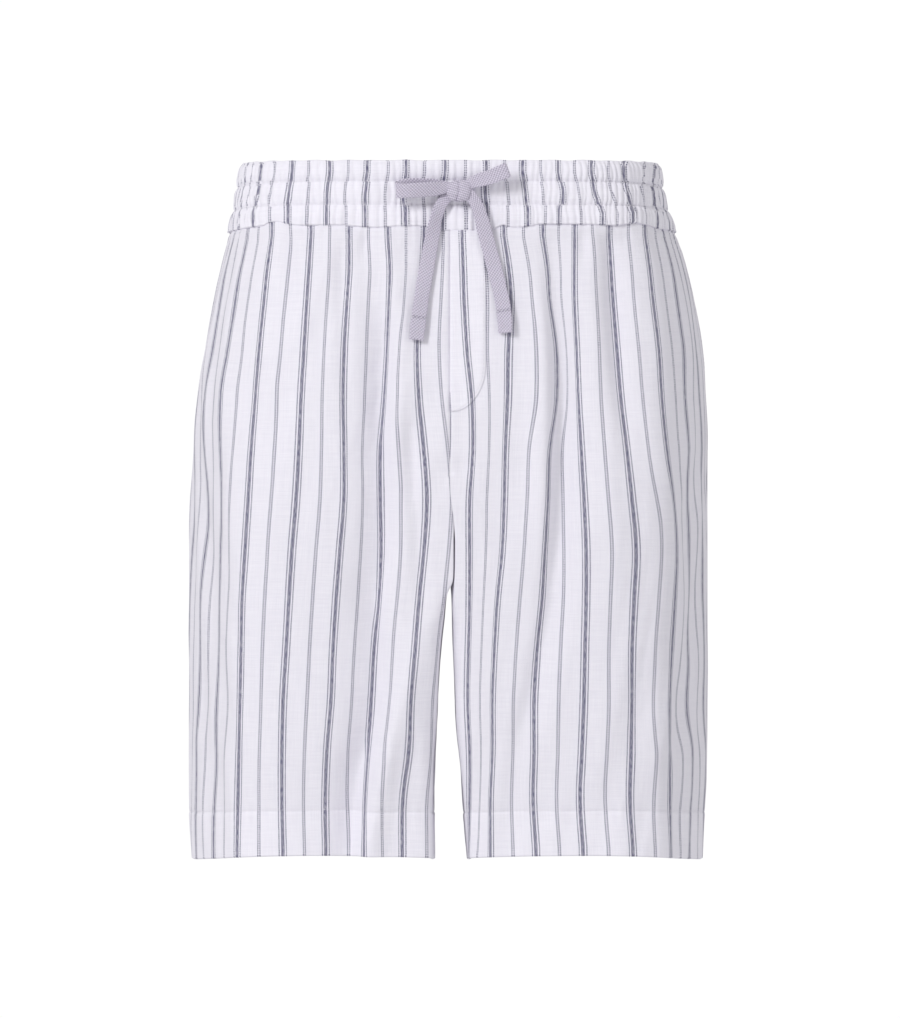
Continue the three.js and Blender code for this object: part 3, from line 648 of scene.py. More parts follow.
tailLeft = [
    (9.5, -118.3, 1.6, 0.6, 0, 0.8), (14.6, -118.9, -2.6, 0.68, 0, 0.74), (18.6, -119.2, -8.2, 0.82, 0, 0.58),
    (21.4, -118.9, -14, 0.91, 0, 0.42), (23.6, -118.2, -21.7, 0.95, 0, 0.35),
    (27.4, -117, -36.5, 0.96, 0, 0.28), (31.5, -116.6, -51.3, 0.97, 0, 0.25),
    (35.2, -117.8, -66.1, 0.97, -0.1, 0.24), (38.6, -119.4, -80.9, 0.95, -0.15, 0.18),
    (40.6, -120.9, -95.7, 0.92, -0.25, 0.08), (41.1, -121.7, -105, 0.9, -0.3, 0.04),
]


# Smooth curve through rows of numbers, with the same number of steps between each two rows
def curveThrough(rows, stepsEach):
    rows = np.asarray(rows, float)
    padded = np.vstack([2 * rows[0] - rows[1], rows, 2 * rows[-1] - rows[-2]])
    out = []
    for i in range(len(rows) - 1):
        p0, p1, p2, p3 = padded[i : i + 4]
        for t in np.arange(stepsEach) / stepsEach:
            square, cube = 2 * p0 - 5 * p1 + 4 * p2 - p3, 3 * p1 - p0 - 3 * p2 + p3
            out.append(0.5 * (2 * p1 + (p2 - p0) * t + square * t**2 + cube * t**3))
    out.append(rows[-1])
    return np.array(out)


def unit(v):
    return v / np.maximum(1e-9, np.linalg.norm(v, axis=-1, keepdims=True))


# Squares off a round shape, the more the smaller the power
def soften(value, power):
    return np.sign(value) * np.abs(value) ** power


# Flat tape along a route: soft round edges, a little wave in its width, and an end that may be folded over
def tapeObject(name, route, foldedShare=0, along0=0.0):
    line = curveThrough(route, drawstring["stepsEach"]["tail" if foldedShare else "loop"])
    centre, width = line[:, :3], line[:, 3:]
    tangent = unit(np.gradient(centre, axis=0))
    width = unit(width - (width * tangent).sum(-1, keepdims=True) * tangent)
    face = np.cross(tangent, width)
    lengths = np.concatenate([[0], np.cumsum(np.linalg.norm(np.diff(centre, axis=0), axis=-1))])
    share = lengths / lengths[-1]
    folded = smooth((share - (1 - foldedShare)) / 0.012) if foldedShare else np.zeros_like(share)
    (slow, slowPitch), (quick, quickPitch) = drawstring["widthWaves"]
    uneven = 1 + slow * np.sin(lengths / slowPitch + along0) + quick * np.sin(lengths / quickPitch)
    half = drawstring["width"] / 2 * uneven
    # the knot draws the tape narrow and cups it
    narrowing, reach = drawstring["tailPinch" if foldedShare else "loopPinch"]
    nearKnot = bell(lengths, reach)
    if not foldedShare:
        nearKnot = nearKnot + bell(lengths[-1] - lengths, reach)
    half = half * (1 - narrowing * nearKnot)
    cup = drawstring["cup"] * nearKnot * np.sign(face[:, 1])
    thick = mix(drawstring["thick"], drawstring["foldedThick"], folded)
    if foldedShare:
        sewn = lengths - lengths[-1] * (1 - foldedShare) - drawstring["foldSewing"]
        thick = thick - drawstring["foldGroove"] * bell(sewn, 0.8)
    sides = drawstring["sides"]
    angles = np.arange(sides) / sides * 2 * math.pi
    u = soften(np.cos(angles), drawstring["corners"][0])
    v = soften(np.sin(angles), drawstring["corners"][1])
    edgeRoll = 1 + drawstring["edgeRoll"] * np.abs(u) ** 6
    curl = drawstring["curl"] * np.sin(lengths / drawstring["curlPitch"] + along0) + cup
    curl = curl[:, None] * (u**2 - 0.4)[None, :]
    points = (
        centre[:, None, :]
        + width[:, None, :] * (half[:, None] * u[None, :])[..., None]
        + face[:, None, :] * ((thick[:, None] / 2) * (v * edgeRoll)[None, :] + curl)[..., None]
    )
    across = (u * drawstring["width"] / 2)[None, :] + drawstring["uvMiddle"]
    uv = np.stack(np.broadcast_arrays(across, lengths[:, None] + along0), -1)
    steps = len(centre)
    a = np.arange(steps * sides).reshape(steps, sides)
    b = np.roll(a, -1, axis=1)
    faces = np.stack([a[:-1], b[:-1], b[1:], a[1:]], -1).reshape(-1, 4)[:, ::-1].tolist()
    # domed ends
    points = points.reshape(-1, 3)
    uv = uv.reshape(-1, 2)
    for end, sign in ((0, -1), (steps - 1, 1)):
        ring = a[end]
        middle = centre[end] + tangent[end] * sign * drawstring["dome"]
        kept = drawstring["domeShare"]
        inner = points[ring] * kept + middle * (1 - kept) + tangent[end] * sign * 0.1
        first = len(points)
        points = np.vstack([points, inner, middle[None]])
        ringUv = uv[ring] * [kept, 1] + [drawstring["uvMiddle"] * (1 - kept), 0]
        uv = np.vstack([uv, ringUv, [[drawstring["uvMiddle"], uv[ring[0], 1]]]])
        for k in range(sides):
            m = (k + 1) % sides
            quad = [ring[k], ring[m], first + m, first + k]
            tri = [first + k, first + m, first + sides]
            if sign < 0:
                quad.reverse()
                tri.reverse()
            faces.append([int(n) for n in quad[::-1]])
            faces.append([int(n) for n in tri[::-1]])
    thing = makeObject(name, points, faces, uv, tapeCloth)
    # painted shade along the sewing's groove, for the tape's material
    paintedGrooveShade = bell(sewn, 0.75) if foldedShare else np.zeros(steps)
    values = np.concatenate([np.repeat(paintedGrooveShade, sides), np.zeros(len(points) - steps * sides)])
    addValues(thing, "sewn", values)
    # a line of sewing across the folded end, on the face towards the camera
    r = int(np.argmin(np.abs(share - (1 - foldedShare) - drawstring["foldSewing"] / lengths[-1])))
    front = face[r] * (-1 if face[r][1] > 0 else 1)
    reach = drawstring["sewnShare"]
    across = np.linspace(-reach, reach, 12)[:, None] * width[r][None, :] * half[r]
    return thing, centre, float(lengths[-1]), centre[r] + across + front * (thick[r] / 2 + stitch["proud"])


# Creases are depth, place across the knot and width
knot = {
    "place": (7, -117.3, 0.1),
    "size": (19.6, 10.6, 16.2),
    "rows": 84,
    "columns": 160,
    "corners": (0.76, 0.74, 0.78),
    "wrapAt": 4.2,
    "wrapHalf": 4.6,
    "wrapHeight": 0.55,
    "slant": 0.12,
    "bend": 0.02,
    "creases": ((1.35, -0.4, 0.85), (0.6, 8.9, 0.8)),
    "fan": 0.28,
    "fanTurn": 1.25,
    "drawnIn": 0.25,
    "poleGap": 0.02,
}


# The knot: the tape wrapped once round its own four ends, as soft rolls with creases between them
def knotObject():
    rows, columns = knot["rows"], knot["columns"]
    size = np.array(knot["size"]) / 2
    polar = np.linspace(knot["poleGap"], math.pi - knot["poleGap"], rows)[:, None]
    turn = np.arange(columns)[None, :] / columns * 2 * math.pi
    ways = (np.sin(polar) * np.cos(turn), np.sin(polar) * np.sin(turn), np.cos(polar) * np.ones_like(turn))
    points = np.stack([soften(way, power) for way, power in zip(ways, knot["corners"])], -1) * size
    x, y, z = (points[..., axis] for axis in range(3))
    front = smooth(-y / 2)
    lean = x - knot["slant"] * z + knot["bend"] * z**2
    wrap = bell(lean - knot["wrapAt"], knot["wrapHalf"], 4)
    crease = sum(depth * bell(lean - at, width) for depth, at, width in knot["creases"])
    fan = knot["fan"] * np.sin((z + 0.3 * x) * knot["fanTurn"]) * (1 - wrap)
    out = (knot["wrapHeight"] * wrap - crease + fan) * front - knot["drawnIn"]
    points = points + unit(points / size**2) * out[..., None] + np.array(knot["place"])
    x, z = points[..., 0], points[..., 2]
    uv = np.stack([x + drawstring["uvMiddle"] + 0.4 * z, z - 0.5 * x], -1)
    a = np.arange(rows * columns).reshape(rows, columns)
    b = np.roll(a, -1, axis=1)
    faces = np.stack([a[:-1], a[1:], b[1:], b[:-1]], -1).reshape(-1, 4).tolist()
    flat = points.reshape(-1, 3)
    top, bottom = len(flat), len(flat) + 1
    flat = np.vstack([flat, flat[:columns].mean(0), flat[-columns:].mean(0)])
    uv = np.vstack([uv.reshape(-1, 2), *[[drawstring["uvMiddle"], 0]] * 2])
    for k in range(columns):
        m = (k + 1) % columns
        faces.append([top, k, m])
        faces.append([bottom, (rows - 1) * columns + m, (rows - 1) * columns + k])
    return makeObject("bow_knot", flat, faces, uv, tapeCloth)


bowKnot = knotObject()
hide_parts("drawstring_knot")
tapes = {}
for name, route, folded in (
    ("tape_loop_right", loopRight, 0),
    ("tape_loop_left", loopLeft, 0),
    ("tape_end_right", tailRight, drawstring["foldedShare"]),
    ("tape_end_left", tailLeft, drawstring["foldedShare"]),
):
    piece, centre, length, sewn = tapeObject(name, route, folded, along0=13.0 * len(tapes))
    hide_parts(name.replace("tape_", "drawstring_").replace("end", "tail"))
    tapes[name] = {"piece": piece, "centre": centre, "length": length, "with": []}
    if folded:
        sewn = sewLines(name + "_stitches", [sewn], 41, drawstring["foldStitch"])
        tapes[name]["with"].append(sewn)
    print(name, round(length, 1), "mm")
print("drawstring ready")


# Creases of the cloth
# Widths of the flanks towards the middle and towards the side, then a route of heights, distances from the
# middle and heights of the crease, below 0 for a trough. On the fronts, places are as seen from the camera.
creases = {
    "front_right": [
        (9, 17, [
            (-30, 54.7, 0), (-77, 52.4, -3.2), (-107, 50.9, -6.2), (-153, 53.2, -8), (-176, 54, -8),
            (-229, 50.9, -7.5), (-274, 53.2, -7), (-312, 57.8, -7), (-373, 56.4, -7), (-411, 62.3, -7.5),
            (-442, 70.4, -7.5), (-520, 78.5, -7),
        ]),
        (8, 9, [(-27, 44, 0.6), (-77, 42.6, 1.6), (-153, 41, 2), (-214, 36.5, 1.6), (-274, 34.2, 0)]),
        (5, 7, [(-160, 31.9, 0), (-191, 28.9, -1.8), (-229, 26.6, -2), (-286, 22.8, -1.6), (-312, 19.8, 0)]),
        (14, 11, [
            (-293, 5, 0), (-312, 12.6, 1.5), (-331, 21, 2.6), (-366, 31.9, 4), (-396, 40, 4.8),
            (-442, 51.4, 5), (-520, 66.4, 4.4),
        ]),
        (4, 7, [(-21, 121.6, -1.2), (-39, 121.6, -2), (-62, 120.8, -1.6), (-100, 117, 0)]),
        (6, 6, [(-22, 82.8, -0.8), (-46, 82.1, -1.8), (-100, 81.3, -1.8), (-153, 79, -1.4), (-191, 78.3, 0)]),
        (5, 4, [(-21, 63.8, -1), (-35, 65.4, -1.2), (-58, 63.8, 0)]),
        (9, 7, [
            (-168, 180.9, 0), (-229, 186.2, -2.2), (-305, 179.4, -2.4), (-366, 183.9, -2), (-411, 190, 0),
        ]),
        (8, 8, [
            (-335, 168.7, 0), (-381, 173.3, -1.6), (-426, 179.4, -2.4), (-472, 176.3, -1.8),
            (-520, 174.8, -1.4),
        ]),
        (9, 12, [(-120, 150, 0), (-150, 148, -1.6), (-185, 151, -1.2), (-215, 156, 0)]),
        (5, 7, [(-205, 3, 0), (-222, 9, -1.4), (-240, 15, -1), (-262, 19, 0)]),
        (4, 5, [(-236, 3, 0), (-246, 8, -1.3), (-262, 13, 0)]),
    ],
    "front_left": [
        (8, 17, [
            (-19, 76.8, -2.5), (-31, 78.3, -3), (-77, 80.6, -4.5), (-115, 84.4, -6.5), (-168, 85.1, -7),
            (-229, 82.8, -6.5), (-274, 80.6, -5.5), (-320, 75.2, -4.6), (-347, 68.4, -3.4),
            (-381, 60.8, -2.8), (-411, 53.2, -2), (-442, 49.4, -1.2), (-520, 47, -0.6),
        ]),
        (9, 6, [(-46, 66.9, 0), (-92, 71.4, 2), (-168, 73, 2.4), (-244, 70.7, 2), (-305, 65.4, 0)]),
        (9, 12, [
            (-18, 123.1, -3), (-62, 124.9, -5.6), (-100, 127.2, -6.2), (-138, 130.2, -5), (-176, 136.3, -3),
            (-216, 142.4, 0),
        ]),
        (4, 5, [(-21, 101.1, -1.4), (-35, 101.8, -1.8), (-58, 103.4, 0)]),
        (22, 14, [
            (-183, 133.8, 0), (-229, 141.4, -2), (-274, 148.2, -2.6), (-335, 150.5, -2.6),
            (-381, 148.2, -2.2), (-426, 144.4, -1.6), (-520, 152, -1.4),
        ]),
        (8, 8, [(-190, 188, 0), (-240, 182, -2), (-300, 187, -2.4), (-360, 180, -1.6), (-410, 184, 0)]),
        (7, 8, [(-330, 170, 0), (-390, 176, -2), (-440, 171, -2), (-520, 176, -1.2)]),
        (7, 9, [(-110, 176, 0), (-150, 181, -1.8), (-190, 178, 0)]),
        (5, 7, [(-195, 4, 0), (-214, 12, -1.5), (-232, 24, -1.2), (-250, 38, 0)]),
        (4, 5, [(-232, 3, 0), (-244, 9, -1.4), (-262, 18, -0.8), (-285, 24, 0)]),
        (5, 6, [(-132, 15.2, 0), (-149, 18.2, -1), (-162, 15.2, 0)]),
    ],
    "back_right": [
        (12, 15, [(-24, 74, -2), (-90, 76, -5), (-160, 78, -5.5), (-250, 72, -4), (-330, 64, 0)]),
        (9, 12, [(-24, 120, -1.6), (-70, 122, -3.6), (-120, 124, -4), (-210, 130, 0)]),
        (18, 20, [(-270, 104, 0), (-350, 98, -4), (-430, 95, -4.6), (-520, 90, -4.6)]),
        (7, 8, [(-24, 38, -1.4), (-60, 40, -2.4), (-110, 36, -2), (-170, 30, 0)]),
        (6, 8, [(-150, 12, 0), (-185, 20, -2), (-215, 34, -2.2), (-245, 52, 0)]),
        (6, 7, [(-205, 8, 0), (-232, 18, -2), (-262, 32, -1.4), (-290, 44, 0)]),
        (8, 9, [(-190, 176, 0), (-260, 182, -2.4), (-330, 178, -2), (-400, 182, 0)]),
        (13, 10, [(-300, 36, 0), (-360, 44, 2.4), (-430, 54, 2.6), (-520, 60, 2)]),
    ],
    "back_left": [
        (11, 15, [(-24, 66, -2), (-80, 70, -5), (-150, 72, -5.5), (-230, 74, -3.6), (-310, 70, 0)]),
        (9, 12, [(-24, 112, -1.6), (-80, 116, -3.8), (-130, 118, -3.6), (-220, 124, 0)]),
        (19, 22, [(-260, 90, 0), (-330, 95, -4), (-400, 98, -4.8), (-520, 95, -4.6)]),
        (6, 8, [(-24, 30, -1.2), (-70, 34, -2.4), (-120, 32, -1.6), (-165, 26, 0)]),
        (6, 8, [(-160, 10, 0), (-192, 20, -2.2), (-220, 36, -1.8), (-244, 50, 0)]),
        (6, 8, [(-212, 8, 0), (-240, 20, -1.8), (-272, 34, -1.6), (-300, 44, 0)]),
        (8, 9, [(-200, 180, 0), (-280, 175, -2.4), (-350, 180, -1.8), (-410, 176, 0)]),
        (12, 10, [(-310, 40, 0), (-370, 46, 2.2), (-440, 50, 2.6), (-520, 58, 2)]),
    ],
}


def creaseHeight(rows, z, x):
    total = np.zeros_like(z)
    for inner, outer, route in rows:
        line = curveThrough(route, 10)[::-1]
        centre = np.interp(z, line[:, 0], line[:, 1])
        height = np.interp(z, line[:, 0], line[:, 2])
        off = x - centre
        width = np.where(off > 0, outer, inner)
        total += height * bell(np.abs(off), width, 1.8)
    return total * panel["creaseDepth"]


# Kinds of uneven rolls: how many, then the ranges of their pitch across the cloth and down it
rollKinds = {
    "cloth": (12, (20, 60), (110, 320)),
    "fine": (10, (9, 20), (60, 150)),
    "pucker": (8, (6, 13), (60, 90)),
    "elastic": (8, (25, 70), (40, 90)),
    "jog": (9, (16, 50), (40, 90)),
}


# Shallow uneven rolls that run mostly down the cloth
def softRolls(seed, x, z, kind="cloth"):
    count, across, down = rollKinds[kind]
    pick = np.random.default_rng(seed)
    total = np.zeros_like(x)
    for _ in range(count):
        a, b = 2 * math.pi / pick.uniform(*across), 2 * math.pi / pick.uniform(*down) * pick.choice([-1, 1])
        roll = np.sin(a * x + b * z + pick.uniform(0, 6.28))
        total += roll * np.sin(z / pick.uniform(50, 130) + pick.uniform(0, 6.28))
    return total / math.sqrt(count)


# Gathers of the elastic waist
gathers = {
    "front_left": {"cell": 4.8, "height": 1.7, "below": 1.1},
    "front_right": {"cell": 5.4, "height": 1.6, "below": 1.0},
    "back_left": {"cell": 5.2, "height": 1.5, "below": 1.0},
    "back_right": {"cell": 5.6, "height": 1.5, "below": 1.0},
}


gatherLength = 262


def gatherTables():
    tables = {}
    for n, (name, given) in enumerate(gathers.items()):
        for channel in range(4):
            pick = np.random.default_rng(40 + n)
            other = np.random.default_rng(100 + 10 * n + channel)
            edges, peaks = [0.0], []
            while edges[-1] < gatherLength:
                edges.append(edges[-1] + given["cell"] * (0.6 + 0.8 * pick.random()))
                peaks.append(0.45 + 0.35 * pick.random() + 0.4 * other.random())
            edges = np.array(edges)
            edges[1:-1] += given["cell"] * 0.22 * (other.random(len(edges) - 2) - 0.5) * 2
            tables[name, channel] = edges, np.array(peaks)
    return tables


gatherCells = gatherTables()


# Height of the gathers, 0 to 1, at a length from the middle of the front or back
def gatherAt(name, channel, lengths):
    edges, peaks = gatherCells[name, channel]
    i = np.clip(np.searchsorted(edges, lengths, side="right") - 1, 0, len(peaks) - 1)
    t = np.clip((lengths - edges[i]) / (edges[i + 1] - edges[i]), 0, 1)
    return peaks[i] * np.sin(math.pi * t) ** 0.8


# How far the seam under the waistband strays from level along the front
seamStray = [
    (-159.7, -1.1), (-139.7, 0.4), (-135.2, 2.2), (-130, 3.3), (-122.6, 1.8), (-118.9, 0.7), (-111.5, 0),
    (-78, 0), (-72.8, -1), (-53.5, -1.9), (-37.1, -0.8), (-22.3, -0.8), (-3.7, -4.1), (18.6, -4.1),
    (31.2, -3.4), (37.1, -0.8), (40.1, 0), (43.1, -1.5), (52, -1.9), (59.4, -0.8), (66.9, 0.7), (96.6, 0.7),
    (111.5, 0.4), (124.1, 0), (132.3, 1.5), (138.9, 2.6), (148.6, 0.7), (156, -1.1),
]


# Behind, it strays in slow waves: height and pitch of each, and where it starts
backStray = {"level": -1.1, "waves": ((0.9, 11.3, 1), (0.8, 6.1, 0), (0.6, 29, 0)), "calmFrom": 165}


def seamOffset(part, points):
    x = points[..., 0]
    if part == "front":
        table = np.array(seamStray)
        return np.interp(x, table[:, 0], table[:, 1])
    calm = smooth((backStray["calmFrom"] - np.abs(x)) / 20)
    waved = sum(height * np.sin(x / pitch + start) for height, pitch, start in backStray["waves"])
    return backStray["level"] + calm * waved


# Stripes: heights, then how far each strong stripe is from the middle as seen from the camera
stripePlaces = {
    "front_right": [
        (-27.5, 19.8, 47.1, 76.8, 105.6, 135.3),
        (-54.1, 21.3, 45.6, 76.8, 107.2, 139.1),
        (-76.9, 22.8, 46.4, 78.3, 108.7, 141.4),
        (-114.9, 25.1, 47.9, 80.6, 111.0, 145.2),
        (-152.9, 23.6, 50.2, 81.3, 113.2, 148.2),
        (-190.9, 19.8, 53.2, 80.6, 114.8, 151.2),
        (-228.9, 17.5, 53.2, 80.6, 117.0, 153.5),
        (-266.9, 19.8, 52.4, 83.6, 120.1, 155.8),
        (-304.9, 23.6, 54.0, 86.6, 122.4, 158.1),
        (-342.9, 26.6, 57.8, 88.9, 124.6, 158.8),
        (-380.9, 29.6, 60.0, 90.4, 126.9, 159.6),
        (-418.9, 31.2, 62.3, 93.5, 127.7, 160.4),
        (-456.9, 36.0, 64.6, 95.0, 127.7, 161.1),
        (-494.9, 36.5, 65.4, 94.5, 126.9, 161.9),
    ],
    "front_left": [
        (-27.5, 9.1, 41.0, 70.7, 94.6, 120.8, 148.2),
        (-54.1, 9.9, 44.8, 74.5, 94.2, 122.4, 152.0),
        (-76.9, 10.6, 46.4, 76.0, 94.2, 123.9, 154.3),
        (-114.9, 12.9, 44.1, 81.3, 95.8, 126.9, 158.8),
        (-152.9, 16.7, 43.3, 81.3, 97.3, 130.0, 161.1),
        (-190.9, 17.5, 41.8, 76.0, 99.6, 134.5, 164.9),
        (-228.9, 15.2, 41.0, 74.5, 101.8, 138.3, 170.2),
        (-266.9, 15.2, 39.5, 72.2, 103.4, 141.4, 172.5),
        (-304.9, 15.2, 35.7, 69.9, 103.4, 139.8, 171.0),
        (-342.9, 14.4, 33.4, 66.1, 102.6, 138.3, 168.7),
        (-380.9, 13.7, 31.9, 63.8, 101.8, 138.3, 167.2),
        (-418.9, 15.2, 31.9, 63.8, 100.3, 137.6, 167.2),
        (-456.9, 15.2, 30.4, 63.1, 98.8, 136.8, 167.2),
        (-494.9, 14.4, 30.4, 65.4, 101.1, 139.1, 168.0),
    ],
    # across the whole front of the waistband, +X to the right
    "waistband": [
        (20.4, -143.6, -120.1, -92.0, -62.3, -33.4, -3.8, 27.4, 55.5, 82.1, 107.2, 132.2, 155.8),
        (5.2, -146.7, -122.4, -93.5, -64.6, -35.0, -6.1, 27.4, 57.8, 85.1, 110.2, 134.5, 154.3),
        (-10.7, -149.0, -123.1, -93.5, -64.6, -34.2, -4.6, 28.9, 59.3, 83.6, 115.5, 139.1, 157.6),
    ],
}
# millimetres of cloth in a millimetre of form, by height, where the stripes aren't placed one by one
easeRows = [(-320, 1.0), (-200, 1.05), (-100, 1.18), (-24, 1.3)]


def easeAt(z):
    table = np.array(easeRows)
    return np.interp(z, table[:, 0], table[:, 1])


# Measure across the cloth for rows of points whose arcs run outwards, from places of the strong stripes
def acrossFrom(placeRows, x, z, arcs, ease):
    table = curveThrough(placeRows, 8)[::-1]
    across = np.zeros_like(x)
    for r in range(len(x)):
        known, measures = [], []
        for k in range(1, table.shape[1]):
            past = x[r] - np.interp(z[r], table[:, 0], table[:, k])
            column = int(np.argmax(past >= 0))
            if past[column] >= 0 and column > 0:
                share = past[column - 1] / (past[column - 1] - past[column])
                known.append(mix(arcs[r, column - 1], arcs[r, column], share))
                measures.append(stripes["repeat"] * (k - 1))
            elif k < 3 and past[0] < 0 and len(known) == k - 1:
                known.append(arcs[r, -1] - past[-1])
                measures.append(stripes["repeat"] * (k - 1))
        if not known:
            known, measures = [0.0], [0.0]
        beyond = np.minimum(0, arcs[r] - known[0]) + np.maximum(0, arcs[r] - known[-1])
        across[r] = np.interp(arcs[r], known, measures) + beyond * np.broadcast_to(ease, x.shape)[r]
    return across


# Panels
panel = {
    "thick": 0.9,
    "hemThick": 2.0,
    "rows": 168,
    "columns": 146,
    "underColumns": 36,
    "forkRows": 40,
    "rolls": 0.8,
    "creaseDepth": 1.65,
    "seamDip": 0.85,
    "hemProud": 0.3,
    "hemPucker": 0.28,
    "puckerReach": 9,
    "seamReach": 1.6,
    "topReach": 2.0,
    "calmCentre": 9,
    "calmSide": 13,
    "calmTop": 14,
    "fineRolls": 0.16,
    "gatherLevel": 0.45,
    "gatherFade": 17,
    "hemGroove": 0.4,
    "strayFade": 42,
    "creaseFill": [(0, 0), (17, 1.1), (30, 30)],
    "fillReach": 22,
    "fillEndZ": -325,
    "closeEndZ": -296,
    "closeTo": 0.12,
    "press": 2.6,
    "pressReach": (16, 38, 34),
    "lap": 3.2,
    "lapReach": (14, -90, 35),
    "pressZ": -268,
    "backShift": {1: 11, -1: -4},
}


# Points of the finished cloth's face on rows of the form, with the way out and the stripes' measure
def clothGrid(part, side, heights, shareRows, lift=0.0):
    name = pieceName(part, side)
    points, normals, lengths = formGrid(part, side, heights, shareRows)
    seam = np.array([ringAt(side, z)["side"] for z in heights])[:, None]
    full = np.array([ringAt(side, z)["full"] for z in heights])[:, None]
    fromCentre = lengths if part == "front" else full - lengths
    fromSide = seam - lengths if part == "front" else lengths - seam
    z = points[..., 2]
    fromTop, fromFork = form["waistSeamZ"] - z, form["forkStartZ"] - z
    if part == "front":
        seenX, seenZ = seenFrom(points)
        height = creaseHeight(creases[name], seenZ, np.abs(seenX))
    else:
        height = creaseHeight(creases[name], z, np.abs(points[..., 0]))
    calm = smooth(fromCentre / panel["calmCentre"]) * smooth(fromSide / panel["calmSide"])
    calm = calm * (0.25 + 0.75 * smooth(fromTop / panel["calmTop"]))
    legs = smooth((fromFork + 10) / 30)
    calm = calm * mix(1, smooth(np.abs(points[..., 0]) / 7), legs)
    rolls = softRolls(len(name) + (3 if side > 0 else 8), fromSide, z) * panel["rolls"]
    fine = softRolls(60 + len(name) + side, fromSide, z, "fine") * panel["fineRolls"]
    below = gathers[name]["below"] * (gatherAt(name, 3, fromCentre) - panel["gatherLevel"])
    below = below * np.exp(-np.maximum(0, fromTop) / panel["gatherFade"])
    height = (height + rolls + fine) * calm + below * smooth(fromCentre / 6) * smooth(fromSide / 6)
    # the hem is double and its stitching puckers it
    hemLine = form["hemFoldZ"]
    hem = smooth((hemLine - z) / 1.6)
    pucker = softRolls(90 + side, fromSide, z, "pucker") * bell(z - hemLine, panel["puckerReach"])
    height = height + hem * panel["hemProud"] - panel["hemGroove"] * bell(z - hemLine, 1.1)
    height = height + pucker * panel["hemPucker"] * calm
    # seams are drawn in
    dip = bell(fromCentre, panel["seamReach"]) * (1 - legs) + bell(fromTop, panel["topReach"])
    dip = dip + bell(fromSide, panel["seamReach"])
    height = height - panel["seamDip"] * np.minimum(1, dip)
    points = points + normals * (height + lift)[..., None]
    points[..., 2] += seamOffset(part, points) * smooth(1 - fromTop / panel["strayFade"])
    if part == "front":
        drop = smooth((form["hemLiftStartZ"] - z) / (form["hemLiftStartZ"] - form["hemZ"]))
        depth = np.clip(-points[..., 1] / form["hemLiftDepth"], 0, 1)
        middle = np.sin(math.pi * np.clip(np.abs(points[..., 0]) / 195, 0, 1))
        points[..., 2] += (form["hemLift"] * depth + form["hemLiftMiddle"] * middle * depth**2) * drop
    gap = form["seamGap"] / 2
    points[..., 0] = np.where(np.abs(points[..., 0]) < gap, side * gap, points[..., 0])
    if part == "front":
        # the cloth of the two legs meets in a shallow crease, not a groove
        front = np.array([tableAt(sectionRows, 3, row) for row in heights])[:, None]
        deep, shallow = np.array(panel["creaseFill"]).T
        belowFork = smooth((fromFork - 5) / 20)
        near = belowFork * smooth((z - panel["fillEndZ"]) / 35)
        near = near * smooth((panel["fillReach"] - np.abs(points[..., 0])) / 10)
        inwards = points[..., 1] + front
        filled = np.where((inwards > 0) & (inwards < deep[-1]), np.interp(inwards, deep, shallow), inwards)
        points[..., 1] = mix(points[..., 1], filled - front, near)
        edge = np.array([tableAt(gapRows, 1 if side > 0 else 2, row) for row in heights])[:, None]
        close = (edge - panel["closeTo"]) * belowFork * smooth((z - panel["closeEndZ"]) / 8)
        close = close * smooth((6 - filled) / 4) * bell(np.abs(points[..., 0]) - edge, 10)
        points[..., 0] -= side * close
    # the thighs press on each other below the crotch, so the slit between them isn't straight
    wide, deep, high = panel["pressReach"]
    pressed = bell(z - panel["pressZ"], high, 4) * bell(points[..., 1], deep)
    points[..., 0] += panel["press"] * pressed * bell(points[..., 0], wide)
    # and at the front one thigh's cloth lies a little over the other's
    wide, backEnd, high = panel["lapReach"]
    lapped = bell(z - panel["pressZ"], high, 4) * smooth((backEnd - points[..., 1]) / 20)
    points[..., 0] += panel["lap"] * lapped * bell(points[..., 0], wide)
    steps = np.linalg.norm(np.diff(points, axis=1), axis=-1)
    arcs = np.concatenate([np.zeros((len(heights), 1)), np.cumsum(steps, axis=1)], axis=1)
    if part == "front":
        seenX, seenZ = seenFrom(points)
        across = acrossFrom(stripePlaces[name], np.abs(seenX), seenZ, arcs, easeAt(z))
    else:
        across = fromSide * easeAt(z) + panel["backShift"][side]
    return points, normals, np.stack([across, -z], -1), hem


def panelHeights():
    top = form["waistSeamZ"] - 0.3
    near = [0, 0.5, 1.1, 1.9, 3]
    even = list(np.linspace(4.6, top - form["hemFoldZ"] - 3, panel["rows"] - 22))
    fold = [top - form["hemFoldZ"] + d for d in (-1.8, -0.9, 0, 0.8, 1.6, 2.6)]
    end = top - form["hemZ"]
    hem = list(np.linspace(top - form["hemFoldZ"] + 4.5, end - 2.2, 9)) + [end - 1.2, end - 0.5, end]
    rows = [top - d for d in near + even + fold + hem]
    # the centre seam curves under to the crotch, so its rows follow that curve
    span = form["forkStartZ"] - form["crotchZ"]
    curve = [form["forkStartZ"] - span * math.sin(a) for a in np.linspace(0, math.pi / 2, panel["forkRows"])]
    clear = [z for z in rows if z > form["forkStartZ"] + 1 or z < form["crotchZ"] - 1]
    return sorted(clear + curve, reverse=True)


# The first columns line the inner leg, and lie close together where there is none
def evenShares(count):
    under = form["underShare"] * (1 - (1 - np.linspace(0, 1, panel["underColumns"])) ** 1.6)
    near = [0, 0.0022, 0.005, 0.0085, 0.013]
    return np.array([*under, *near[2:], *np.linspace(0.019, 0.981, count - 10), *[1 - n for n in near[::-1]]])


